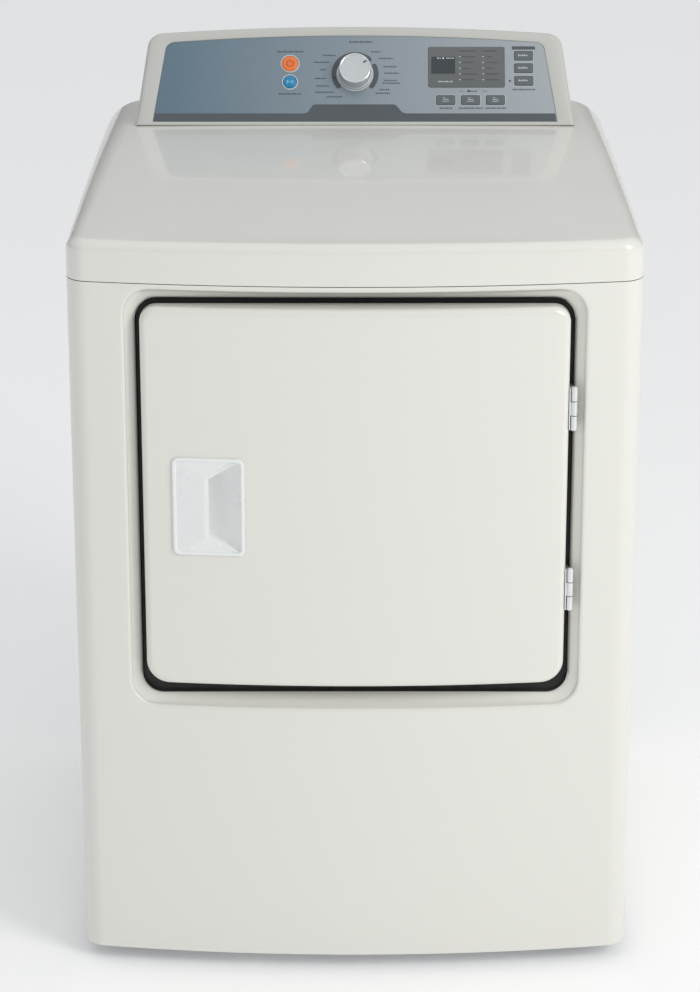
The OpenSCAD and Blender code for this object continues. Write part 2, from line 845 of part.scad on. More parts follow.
// Pocket in the door with a flap that rises from its left edge: the fingers go behind the flap's lip
module door_handle_cup() {
    flange = 2.2;
    deep = 22.2;
    wall = 2;
    flap_left = 5.5 - cup_w / 2;
    flap_lip = -2;
    color("white") at_cup() {
        difference() {
            union() {
                along_y(-flange, -0.1) rounded(cup_w, cup_h, 8);
                along_y(-1, deep) rounded(cup_w - 9, cup_h - 9, 6);
            }
            along_y(-10, deep - wall) rounded(cup_w - 9 - 2 * wall, cup_h - 9 - 2 * wall, 4);
        }
        translate([0, 0, 5.5 - cup_h / 2]) linear_extrude(cup_h - 11) polygon([
            [flap_left, -1.5], [flap_lip, -7.8], [flap_lip, -4.3], [flap_left, 2]]);
    }
}

module door_seal() {
    color("dimgray") along_y(door_back + sheet, floor_y - 0.5) translate([0, open_z]) difference() {
        rounded(open_w + 34, open_h + 34, open_r + 8.5);
        rounded(open_w + 14, open_h + 14, open_r + 3.5);
    }
}

module door_strike() {
    color(silver) translate([-243, door_back + sheet, cup_z - 8]) cube([5, 18, 16]);
}

module door_catch() {
    y0 = floor_y + sheet + 0.3;
    color("white") difference() {
        translate([-252, y0, cup_z - 20]) cube([23, 16, 40]);
        translate([-246, y0 - 1, cup_z - 15]) cube([11, 15, 30]);
    }
}

module door_switch() {
    y0 = floor_y + sheet + 0.3;
    color("white") difference() {
        translate([-227, y0, 796]) cube([24, 20, 28]);
        rod_y(-215, 810, 3.05, y0 - 1, y0 + 16);
    }
}

module door_switch_plunger() {
    color("black") rod_y(-215, 810, 3, door_back + sheet + 0.5, floor_y + 14);
}

// ---------- hinges ----------

knuckle = 17.6;

module hinge_leaves_fixed() {
    color(silver) for (z = hinge_zs) {
        for (s = [-1, 1]) {
            z0 = z + s * (hinge_h / 2 - knuckle / 2) - knuckle / 2;
            translate([hinge_x, hinge_y, z0]) cylinder(r = barrel_r, h = knuckle, $fn = 64);
            translate([hinge_x - barrel_r, hinge_y, z0]) cube([2, floor_y - hinge_y - 0.2, knuckle]);
        }
        translate([hinge_x, hinge_y, z - hinge_h / 2 + 1]) cylinder(r = hinge_pin_r, h = hinge_h - 2, $fn = 64);
    }
}

module hinge_leaves_moving() {
    side_x = door_w / 2 + 0.2;
    color(silver) for (z = hinge_zs) difference() {
        union() {
            translate([hinge_x, hinge_y, z - knuckle / 2]) cylinder(r = barrel_r, h = knuckle, $fn = 64);
            translate([side_x, hinge_y - 2, z - knuckle / 2]) cube([hinge_x - side_x, 2, knuckle]);
            translate([side_x - 0.2, hinge_y - 3, z - hinge_h / 2]) cube([1.4, 14, hinge_h]);
        }
        translate([hinge_x, hinge_y, z - hinge_h]) cylinder(r = hinge_pin_r + 0.05, h = 2 * hinge_h, $fn = 64);
    }
}

// ---------- feet and screws ----------

module levelling_foot(x, y) {
    color(dark) translate([x, y, 0]) {
        cylinder(r1 = foot_r - 2, r2 = foot_r, h = 3, $fn = 64);
        translate([0, 0, 3]) cylinder(r = foot_r, h = base_z - 6, $fn = 64);
        translate([0, 0, base_z - 3]) cylinder(r = 5, h = 20, $fn = 48);
    }
}

module levelling_foot_front_left() levelling_foot(-foot_x, foot_ys[0]);

module levelling_foot_front_right() levelling_foot(foot_x, foot_ys[0]);

module levelling_foot_rear_left() levelling_foot(-foot_x, foot_ys[1]);

module levelling_foot_rear_right() levelling_foot(foot_x, foot_ys[1]);

module screw_back(x, z) {
    rod_y(x, z, 4.5, rear_y, rear_y + 2.2);
}

module cabinet_screws() {
    color(silver) {
        for (x = [-328, 328], z = [60 : 160 : 860]) screw_back(x, z);
        for (x = [-240, -80, 80, 240]) screw_back(x, seam_z - 14);
    }
}

base_pan();
left_side_panel();
right_side_panel();
rear_panel();
front_panel();
top_panel();
front_bulkhead();
rear_bulkhead();
drum_bearing();
drum_glides();
front_felt_seal();
rear_felt_seal();
console_frame();
console_rear_cover();
control_fascia();
display_window();
control_board();
cycle_dial();
power_button();
start_button();
option_button_upper();
option_button_middle();
option_button_lower();
option_button_left();
option_button_centre();
option_button_right();
drum_shell();
drum_back();
drum_baffles();
drum_axle();
drive_belt();
motor_housing();
motor_bracket();
motor_shaft();
blower_wheel();
blower_housing();
exhaust_duct();
lint_filter();
lint_filter_housing();
idler_arm();
idler_pulley();
idler_spring();
heater_housing();
heater_coil();
terminal_cover();
door_outer_panel();
door_inner_panel();
door_handle_cup();
door_seal();
door_strike();
door_catch();
door_switch();
door_switch_plunger();
hinge_leaves_fixed();
hinge_leaves_moving();
levelling_foot_front_left();
levelling_foot_front_right();
levelling_foot_rear_left();
levelling_foot_rear_right();
cabinet_screws();
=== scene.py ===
"""Looks for the front-loading tumble dryer: detailed shells, controls and procedural materials.

Lengths in this script are millimetres in the part's own frame, and turn into metres in make_piece().
X is to the right seen from the front, Y to the rear, Z up.
"""
import bpy
import bmesh
import math
from math import asin, cos, pi, radians, sin, sqrt
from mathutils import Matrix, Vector


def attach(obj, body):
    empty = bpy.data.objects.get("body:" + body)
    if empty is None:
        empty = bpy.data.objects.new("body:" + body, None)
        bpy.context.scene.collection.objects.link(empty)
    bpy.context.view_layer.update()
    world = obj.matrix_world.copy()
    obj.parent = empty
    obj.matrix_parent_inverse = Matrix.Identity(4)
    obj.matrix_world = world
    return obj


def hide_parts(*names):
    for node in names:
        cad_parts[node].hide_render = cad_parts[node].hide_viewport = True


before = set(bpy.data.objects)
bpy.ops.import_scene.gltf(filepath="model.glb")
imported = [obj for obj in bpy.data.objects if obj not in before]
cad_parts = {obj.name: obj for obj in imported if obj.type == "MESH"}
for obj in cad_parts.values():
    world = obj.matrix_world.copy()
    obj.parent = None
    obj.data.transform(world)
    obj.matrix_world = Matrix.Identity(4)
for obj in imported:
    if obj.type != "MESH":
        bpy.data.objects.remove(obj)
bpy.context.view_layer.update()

# ---------- driving sizes, as in the part's source ----------

CAB_W, CAB_D, BOW, CORNER_R = 690.0, 650.0, 29.0, 30.0
BASE_Z, SEAM_Z, SHEET = 20.0, 903.0, 1.2
LIP_H, CROWN, SIDE_FALL = 50.0, 18.0, 1.5
CORNER_Y = -325.0
REAR_Y = CORNER_Y + CAB_D
BOW_R = CAB_W ** 2 / (8 * BOW) + BOW / 2
BOW_CY = CORNER_Y - BOW + BOW_R
DOOR_W, DOOR_H, DOOR_Z, DOOR_PROUD, DOOR_BACK = 514.0, 484.0, 633.0, 6.0, -326.0
FLOOR_Y = CORNER_Y + 5
RECESS_OUT, RECESS_IN, RECESS_Z = (275.0, 267.0), (263.0, 253.0), DOOR_Z - 5.5
OPEN_W, OPEN_H, OPEN_R, OPEN_Z = 440.0, 380.0, 100.0, 635.0
LEAN, FACE_H, ARCH = radians(35), 140.0, 9.0
FOOT_Y, FOOT_Z = CORNER_Y + 500, SEAM_Z + LIP_H + CROWN + 0.3
FRAME_HALF, FRAME_TAPER, FRAME_ROUND = 291.0, 0.125, 22.0
FASCIA_HALF, FASCIA_TAPER, FASCIA_LOW, FASCIA_HIGH, FASCIA_ROUND = 268.5, 0.15, 5.0, 127.0, 13.0
CONSOLE_SPLIT = 290.0
CATCH_X, CATCH_HALF = (-245.0, -236.0), 14.0
PLUNGER, PLUNGER_BORE_R = (-215.0, 810.0), 3.2
FOOT_X, FOOT_YS = 288.0, (-268.0, 272.0)
CUP_X, CUP_Z, CUP_W, CUP_H = -177.0, 626.0, 88.0, 125.0
HINGE_X, HINGE_Y, HINGE_ZS, HINGE_H, KNUCKLE, BARREL_R = 263.0, -338.0, (514.0, 747.0), 54.0, 17.6, 4.2


# ---------- mesh helpers ----------

def make_piece(name, verts, faces, body, material, replaces=(), thickness=0.0, sharp=40, towards=None):
    """Makes one piece from points in millimetres. A thickness turns an open skin into a solid sheet."""
    mesh = bpy.data.meshes.new(name)
    mesh.from_pydata([Vector(v) / 1000 for v in verts], [], faces)
    bm = bmesh.new()
    bm.from_mesh(mesh)
    bmesh.ops.remove_doubles(bm, verts=bm.verts, dist=1e-6)
    bmesh.ops.dissolve_degenerate(bm, edges=bm.edges, dist=1e-7)
    bmesh.ops.recalc_face_normals(bm, faces=bm.faces)
    if towards is not None:
        aim = Vector(towards) / 1000
        facing = sum(f.normal.dot(aim - f.calc_center_median()) * f.calc_area() for f in bm.faces)
        if facing < 0:
            bmesh.ops.reverse_faces(bm, faces=bm.faces)
    bm.to_mesh(mesh)
    bm.free()
    obj = bpy.data.objects.new(name, mesh)
    bpy.context.scene.collection.objects.link(obj)
    if thickness:
        solid = obj.modifiers.new("sheet", "SOLIDIFY")
        solid.thickness = thickness / 1000
        solid.offset = -1
        apply_modifiers(obj)
    finish_shading(obj, sharp)
    obj.data.materials.append(material)
    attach(obj, body)
    if replaces:
        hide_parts(*replaces)
    return obj


def apply_modifiers(obj):
    """Replaces the mesh of a piece with the result of its modifiers."""
    bpy.context.view_layer.update()
    graph = bpy.context.evaluated_depsgraph_get()
    done = bpy.data.meshes.new_from_object(obj.evaluated_get(graph))
    obj.modifiers.clear()
    obj.data = done


def finish_shading(obj, sharp):
    """Smooth faces, with edges sharper than an angle in degrees kept crisp."""
    obj.data.shade_smooth()
    obj.data.set_sharp_from_angle(angle=radians(sharp))


def cut(obj, *cutters):
    """Cuts the cutters' closed meshes out of a piece and removes them."""
    for tool in cutters:
        step = obj.modifiers.new("cut", "BOOLEAN")
        step.operation = "DIFFERENCE"
        step.solver = "EXACT"
        step.object = tool
    apply_modifiers(obj)
    for tool in cutters:
        bpy.data.objects.remove(tool)


def cutter(verts, faces):
    """A closed mesh to cut with."""
    mesh = bpy.data.meshes.new("cutter")
    mesh.from_pydata([Vector(v) / 1000 for v in verts], [], faces)
    bm = bmesh.new()
    bm.from_mesh(mesh)
    bmesh.ops.recalc_face_normals(bm, faces=bm.faces)
    bm.to_mesh(mesh)
    bm.free()
    obj = bpy.data.objects.new("cutter", mesh)
    bpy.context.scene.collection.objects.link(obj)
    return obj


def loft(rings, closed=True, caps=(False, False), around=False):
    """Joins rings of equal length. around also joins the last ring to the first."""
    n = len(rings[0])
    count = len(rings)
    verts = [p for ring in rings for p in ring]
    faces = []
    for k in range(count if around else count - 1):
        low = k * n
        high = (k + 1) % count * n
        for i in range(n if closed else n - 1):
            j = (i + 1) % n
            faces.append((low + i, low + j, high + j, high + i))
    if caps[0]:
        faces.append(tuple(range(n)))
    if caps[1]:
        faces.append(tuple((count - 1) * n + i for i in range(n)))
    return verts, faces


def joined(parts):
    """One list of points and faces from several."""
    verts, faces = [], []
    for part_verts, part_faces in parts:
        start = len(verts)
        verts += part_verts
        faces += [tuple(i + start for i in face) for face in part_faces]
    return verts, faces


def lerp(a, b, t):
    """The point a share t of the way from a to b."""
    return tuple(p + (q - p) * t for p, q in zip(a, b))


def lerp_ring(a, b, t):
    return [lerp(p, q, t) for p, q in zip(a, b)]


def round_rect(half_w, half_h, top_r, low_r=None, at=(0, 0), nx=20, nz=14, nc=8, square=False):
    """Points round a rectangle with round corners, anticlockwise from the right end of its top right corner.
    Every ring made with the same counts has matching points. square makes the corners sharp."""
    low_r = top_r if low_r is None else low_r
    corners = [(1, 1, top_r, 0), (-1, 1, top_r, 90), (-1, -1, low_r, 180), (1, -1, low_r, 270)]
    arcs = []
    for sx, sz, r, start in corners:
        arc = []
        for i in range(nc + 1):
            a = radians(start + 90 * i / nc)
            reach = 1 / max(abs(cos(a)), abs(sin(a))) if square else 1
            arc.append((at[0] + sx * (half_w - r) + r * reach * cos(a),
                        at[1] + sz * (half_h - r) + r * reach * sin(a)))
        arcs.append(arc)
    points = []
    for k, arc in enumerate(arcs):
        points += arc
        after = arcs[(k + 1) % 4][0]
        n = nx if k % 2 == 0 else nz
        points += [lerp(arc[-1], after, i / n) for i in range(1, n)]
    return points


def bow_y(x, proud=0.0):
    """Depth of the bowed front at x, moved out by proud."""
    return BOW_CY - sqrt((BOW_R + proud) ** 2 - x * x)


def on_bow(points, proud=0.0):
    return [(x, bow_y(x, proud), z) for x, z in points]


def at_y(points, y):
    return [(x, y, z) for x, z in points]


def lathe(profile, n=64, axis_at=(0, 0, 0), axis="Y", start=0.0, sweep=360.0):
    """Turns (radius, distance along the axis) points about an axis."""
    full = sweep >= 359.9
    count = n if full else n + 1
    rings = []
    for k in range(count):
        a = radians(start + sweep * k / n)
        ring = []
        for r, t in profile:
            if axis == "Y":
                ring.append((axis_at[0] + r * cos(a), axis_at[1] + t, axis_at[2] + r * sin(a)))
            elif axis == "Z":
                ring.append((axis_at[0] + r * cos(a), axis_at[1] + r * sin(a), axis_at[2] + t))
            else:
                ring.append((axis_at[0] + t, axis_at[1] + r * cos(a), axis_at[2] + r * sin(a)))
        rings.append(ring)
    return rings, full


def lathe_mesh(profile, closed_profile=False, **options):
    rings, full = lathe(profile, **options)
    return loft(rings, closed=closed_profile, around=full)


def face_point(x, l, n=0.0):
    """A point given in the console face's own frame: x, distance up the face, distance out of it."""
    return (x, FOOT_Y + l * sin(LEAN) - n * cos(LEAN), FOOT_Z + l * cos(LEAN) + n * sin(LEAN))


def plate(outline, low, high, place=face_point, edge=0.0):
    """A flat plate from a closed 2D outline, with a small chamfer on its upper edge."""
    if not edge:
        rings = [[place(x, l, low) for x, l in outline], [place(x, l, high) for x, l in outline]]
        return loft(rings, caps=(True, True))
    inner = shrink(outline, edge)
    rings = [[place(x, l, low) for x, l in outline], [place(x, l, high - edge) for x, l in outline],
             [place(x, l, high) for x, l in inner]]
    return loft(rings, caps=(True, True))


def shrink(outline, inset):
    """Moves a convex outline in by inset, along the mean normal at each point."""
    n = len(outline)
    area = sum(outline[i][0] * outline[(i + 1) % n][1] - outline[(i + 1) % n][0] * outline[i][1]
               for i in range(n))
    turn = 1 if area > 0 else -1
    moved = []
    for i, (x, y) in enumerate(outline):
        (ax, ay), (bx, by) = outline[i - 1], outline[(i + 1) % n]
        dx, dy = bx - ax, by - ay
        size = math.hypot(dx, dy) or 1
        moved.append((x - turn * dy / size * inset, y + turn * dx / size * inset))
    return moved


def circle(x, y, r, n=48, start=0.0, sweep=360.0):
    return [(x + r * cos(radians(start + sweep * i / n)), y + r * sin(radians(start + sweep * i / n)))
            for i in range(n if sweep >= 359.9 else n + 1)]


def arc_band(x, y, r_in, r_out, start, end, n=40):
    """A ring segment with round ends."""
    mid, half = (r_in + r_out) / 2, (r_out - r_in) / 2
    outer = [(x + r_out * cos(a), y + r_out * sin(a))
             for a in (radians(start + (end - start) * i / n) for i in range(n + 1))]
    inner = [(x + r_in * cos(a), y + r_in * sin(a))
             for a in (radians(end + (start - end) * i / n) for i in range(n + 1))]

    def end_cap(angle, direction):
        cx, cy = x + mid * cos(radians(angle)), y + mid * sin(radians(angle))
        first = angle if direction > 0 else angle + 180
        return [(cx + half * cos(radians(first + 180 * i / 8)),
                 cy + half * sin(radians(first + 180 * i / 8))) for i in range(1, 8)]
    return outer + end_cap(end, 1) + inner + end_cap(start, -1)


def box_mesh(low, high, edge=0.0):
    """A box with all its edges chamfered."""
    (x0, y0, z0), (x1, y1, z1) = low, high
    e = edge
    rings = [[(x0 + e, y0 + e, z0), (x1 - e, y0 + e, z0), (x1 - e, y1 - e, z0), (x0 + e, y1 - e, z0)],
             [(x0, y0, z0 + e), (x1, y0, z0 + e), (x1, y1, z0 + e), (x0, y1, z0 + e)],
             [(x0, y0, z1 - e), (x1, y0, z1 - e), (x1, y1, z1 - e), (x0, y1, z1 - e)],
             [(x0 + e, y0 + e, z1), (x1 - e, y0 + e, z1), (x1 - e, y1 - e, z1), (x0 + e, y1 - e, z1)]]
    return loft(rings if e else rings[1:3], caps=(True, True))


# ---------- materials ----------

class Shader:
    """A principled material that is built up node by node."""

    def __init__(self, name, colour, rough, metallic=0.0, coat=0.0, coat_rough=0.05, ior=1.5):
        self.material = bpy.data.materials.new(name)
        self.material.use_nodes = True
        self.tree = self.material.node_tree
        self.bsdf = self.tree.nodes["Principled BSDF"]
        self.colour = colour
        self.rough = rough
        self.set("Base Color", (*colour, 1))
        self.set("Roughness", rough)
        self.set("Metallic", metallic)
        self.set("Coat Weight", coat)
        self.set("Coat Roughness", coat_rough)
        self.set("IOR", ior)
        self.bump_normal = None

    def set(self, socket, value):
        self.bsdf.inputs[socket].default_value = value

    def node(self, kind, links=None, **settings):
        made = self.tree.nodes.new(kind)
        for key, value in settings.items():
            setattr(made, key, value)
        for socket, value in (links or {}).items():
            if isinstance(value, bpy.types.NodeSocket):
                self.tree.links.new(value, made.inputs[socket])
            else:
                made.inputs[socket].default_value = value
        return made

    def coords(self, stretch=(1, 1, 1), turn=(0, 0, 0)):
        source = self.node("ShaderNodeTexCoord").outputs["Object"]
        return self.node("ShaderNodeMapping",
                         {"Vector": source, "Scale": stretch, "Rotation": turn}).outputs[0]

    def noise(self, scale, detail=2.0, stretch=(1, 1, 1), rough=0.5):
        links = {"Vector": self.coords(stretch), "Scale": scale, "Detail": detail, "Roughness": rough}
        return self.node("ShaderNodeTexNoise", links).outputs["Fac"]

    def voronoi(self, scale, stretch=(1, 1, 1), feature="F1", output="Distance"):
        links = {"Vector": self.coords(stretch), "Scale": scale}
        return self.node("ShaderNodeTexVoronoi", links, feature=feature).outputs[output]

    def spread(self, value, low, high, out_low=0.0, out_high=1.0):
        """Maps a range of a value to another range."""
        links = {"Value": value, "From Min": low, "From Max": high, "To Min": out_low, "To Max": out_high}
        return self.node("ShaderNodeMapRange", links).outputs[0]

    def blend(self, factor, first, second):
        made = self.node("ShaderNodeMix", {"Factor": factor}, data_type="RGBA")
        for socket, value in ((6, first), (7, second)):
            if isinstance(value, bpy.types.NodeSocket):
                self.tree.links.new(value, made.inputs[socket])
            else:
                made.inputs[socket].default_value = (*value, 1)
        return made.outputs[2]

    def paint(self, colour):
        self.tree.links.new(colour, self.bsdf.inputs["Base Color"])
        return self

    def vary(self, factor, amount):
        """Makes the colour a little darker where the factor is low and lighter where it is high."""
        dark = tuple(max(0, c * (1 - amount)) for c in self.colour)
        light = tuple(min(1, c * (1 + amount)) for c in self.colour)
        return self.paint(self.blend(factor, dark, light))

    def roughen(self, factor, low, high):
        value = self.spread(factor, 0.3, 0.7, low, high)
        self.tree.links.new(value, self.bsdf.inputs["Roughness"])
        return self

    def bump(self, height, strength, depth):
        """Adds a bump layer. depth is in metres."""
        links = {"Height": height, "Strength": strength, "Distance": depth}
        if self.bump_normal is not None:
            links["Normal"] = self.bump_normal
        self.bump_normal = self.node("ShaderNodeBump", links).outputs[0]
        self.tree.links.new(self.bump_normal, self.bsdf.inputs["Normal"])
        return self


def enamel():
    s = Shader("enamel", (0.790, 0.785, 0.735), 0.34, coat=0.7, coat_rough=0.05)
    s.vary(s.noise(2.3, 3), 0.010)
    s.roughen(s.noise(9, 4), 0.30, 0.40)
    s.bump(s.noise(260, 2), 0.10, 0.0002)
    s.bump(s.noise(14, 1), 0.05, 0.0010)
    return s.material


def console_plastic():
    # the cabinet's cream darkened as painted shade, because the leaning console catches less light than the
    # front
    s = Shader("console_plastic", (0.570, 0.575, 0.540), 0.36, coat=0.3, coat_rough=0.15)
    s.vary(s.noise(3.1, 3), 0.012)
    s.roughen(s.noise(20, 4), 0.32, 0.42)
    s.bump(s.noise(700, 3), 0.08, 0.0001)
    return s.material


def fascia_film():
    """Metallic film: fine flake, brushed slightly side to side; darker and bluer at the left as painted
    shade, lighter at the right as painted light.
    """
    s = Shader("fascia_film", (0.30, 0.35, 0.39), 0.38, metallic=0.55, coat=0.25, coat_rough=0.18)
    across = s.node("ShaderNodeSeparateXYZ", {"Vector": s.coords()}).outputs[0]
    # painted light and shade across the face: dark blue at the left where shade falls, pale at the right
    # where the key light falls
    painted_light_and_shade = s.spread(across, -0.26, 0.26)
    base = s.blend(painted_light_and_shade, (0.100, 0.175, 0.240), (0.40, 0.435, 0.460))
    flake = s.noise(2600, 2, stretch=(0.35, 1, 1))
    s.paint(s.blend(s.spread(flake, 0.35, 0.65, 0.0, 0.10), base, (0.75, 0.80, 0.84)))
    s.roughen(s.noise(40, 3, stretch=(0.1, 1, 1)), 0.34, 0.44)
    s.bump(flake, 0.05, 0.00005)
    return s.material


def satin(name, colour, rough, grain=900, amount=0.05, metallic=0.0, coat=0.0, bump=0.12):
    """Moulded plastic or paint with a fine moulded grain."""
    s = Shader(name, colour, rough, metallic=metallic, coat=coat, coat_rough=0.12)
    s.vary(s.noise(60, 4), amount)
    s.roughen(s.noise(35, 3), rough - 0.05, rough + 0.06)
    s.bump(s.noise(grain, 3), bump, 0.0001)
    return s.material


def brushed(name, colour, rough, along=(1, 40, 40), scale=30.0, amount=0.06):
    """Metal with fine lines along the axis that isn't stretched."""
    s = Shader(name, colour, rough, metallic=1.0)
    lines = s.noise(scale, 4, stretch=along)
    s.vary(lines, amount)
    s.roughen(lines, rough - 0.06, rough + 0.08)
    s.bump(lines, 0.10, 0.0001)
    return s.material


def galvanised():
    s = Shader("galvanised", (0.62, 0.64, 0.66), 0.42, metallic=0.9)
    spangle = s.voronoi(70, output="Color")
    value = s.node("ShaderNodeSeparateColor", {"Color": spangle}).outputs[0]
    s.vary(value, 0.10)
    s.roughen(value, 0.32, 0.52)
    s.bump(s.noise(500, 3), 0.08, 0.0001)
    return s.material


def felt():
    s = Shader("felt", (0.16, 0.16, 0.165), 0.95)
    s.set("Sheen Weight", 0.6)
    s.set("Sheen Roughness", 0.5)
    fibre = s.noise(900, 6, stretch=(1, 1, 0.4), rough=0.7)
    s.vary(fibre, 0.45)
    s.bump(fibre, 0.6, 0.0006)
    return s.material


def rubber(name, colour):
    s = Shader(name, colour, 0.65)
    s.vary(s.noise(80, 4), 0.25)
    s.roughen(s.noise(50, 4), 0.55, 0.75)
    s.bump(s.noise(1500, 3), 0.15, 0.0001)
    return s.material


def cast_metal():
    s = Shader("motor_casting", (0.30, 0.31, 0.32), 0.55, metallic=0.8)
    s.vary(s.noise(120, 5), 0.18)
    s.roughen(s.noise(60, 4), 0.45, 0.68)
    s.bump(s.noise(700, 5), 0.35, 0.0003)
    return s.material


def board():
    s = Shader("board_green", (0.025, 0.10, 0.05), 0.35, coat=0.4)
    tracks = s.node("ShaderNodeTexBrick", {"Vector": s.coords((160, 160, 160)), "Scale": 1.0})
    s.paint(s.blend(s.spread(tracks.outputs["Fac"], 0, 1, 0.0, 0.5), (0.025, 0.10, 0.05), (0.05, 0.20, 0.09)))
    s.bump(tracks.outputs["Fac"], 0.2, 0.0001)
    return s.material


def glass_black(name, colour, rough=0.16):
    s = Shader(name, colour, rough, coat=0.5, coat_rough=0.05)
    s.vary(s.noise(300, 2), 0.06)
    s.roughen(s.noise(12, 4), rough - 0.03, rough + 0.05)
    s.bump(s.noise(400, 2), 0.02, 0.0001)
    return s.material


def lens(name, colour):
    """Translucent key: tinted plastic with some light inside it."""
    s = Shader(name, colour, 0.30, coat=0.4, coat_rough=0.1)
    s.set("Subsurface Weight", 0.15)
    s.set("Subsurface Scale", 0.002)
    s.vary(s.noise(180, 3), 0.06)
    s.roughen(s.noise(60, 3), 0.26, 0.36)
    s.bump(s.noise(1200, 2), 0.05, 0.0001)
    return s.material


MATERIALS = {
    "enamel": enamel(),
    "galvanised": galvanised(),
    "drum_steel": brushed("drum_steel", (0.62, 0.63, 0.64), 0.36, along=(30, 1, 30), scale=25),
    "shaft_steel": brushed("shaft_steel", (0.66, 0.67, 0.68), 0.28, along=(1, 1, 1), scale=600, amount=0.04),
    "hinge_zinc": brushed("hinge_zinc", (0.78, 0.79, 0.80), 0.34, along=(1, 1, 0.1), scale=500, amount=0.05),
    "console_plastic": console_plastic(),
    "fascia_blue": fascia_film(),
    "display_black": glass_black("display_black", (0.118, 0.128, 0.132), 0.22),
    "dial_silver": satin("dial_silver", (0.60, 0.63, 0.65), 0.30, grain=1500, amount=0.03, metallic=0.35,
                         coat=0.3),
    "button_orange": lens("button_orange", (0.88, 0.20, 0.035)),
    "button_blue": lens("button_blue", (0.003, 0.23, 0.47)),
    "button_grey": satin("button_grey", (0.115, 0.135, 0.147), 0.40, amount=0.04, coat=0.15),
    "handle_white": satin("handle_white", (0.86, 0.88, 0.875), 0.30, grain=1100, amount=0.012, coat=0.35,
                          bump=0.05),
    "nylon": satin("nylon", (0.74, 0.72, 0.66), 0.48, amount=0.03),
    "housing_plastic": satin("housing_plastic", (0.27, 0.28, 0.28), 0.52, amount=0.06, bump=0.3),
    "felt": felt(),
    "black_rubber": rubber("black_rubber", (0.018, 0.018, 0.018)),
    "foot_black": rubber("foot_black", (0.028, 0.028, 0.030)),
    "motor_casting": cast_metal(),
    "board_green": board(),
    "heater_wire": brushed("heater_wire", (0.24, 0.22, 0.21), 0.5, along=(1, 1, 1), scale=500, amount=0.2),
}
# painted shadow: near-black material laid in the top seam and round the door where only shade falls
PAINTED_GAP_SHADOW = rubber("seam_shadow", (0.012, 0.012, 0.011))
BAND = satin("fascia_band", (0.078, 0.095, 0.108), 0.42, amount=0.04, coat=0.15)
PRINT = satin("print_dark", (0.050, 0.058, 0.066), 0.45, amount=0.05)
PALE_PRINT = satin("print_pale", (0.62, 0.66, 0.68), 0.40, amount=0.04)
SCREEN = glass_black("screen", (0.022, 0.032, 0.039), 0.12)
CHROME = brushed("bright_rim", (0.82, 0.84, 0.85), 0.14, along=(1, 1, 1), scale=500, amount=0.02)

# ---------- CAD nodes that keep their shape ----------

def dress_cad():
    """Gives each CAD node the material of its slot."""
    for name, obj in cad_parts.items():
        slots = obj.data.materials
        for i, material in enumerate(slots):
            key = material.name.split(".")[0]
            slots[i] = MATERIALS.get(key, MATERIALS["galvanised"])


# ---------- cabinet ----------

def corner_arc(inset=0.0, n=10):
    """The outline from the end of the bow round the right front corner: (x, y) points."""
    half, big, r = CAB_W / 2 - inset, BOW_R - inset, CORNER_R - inset
    turn_y = BOW_CY - sqrt((big - r) ** 2 - (half - r) ** 2)
    start = asin((half - r) / (big - r))
    angles = [start + (pi / 2 - start) * i / n for i in range(n + 1)]
    points = [(half - r + r * sin(a), turn_y - r * cos(a)) for a in angles]
    return points + [(half, CORNER_Y + 41.5)]


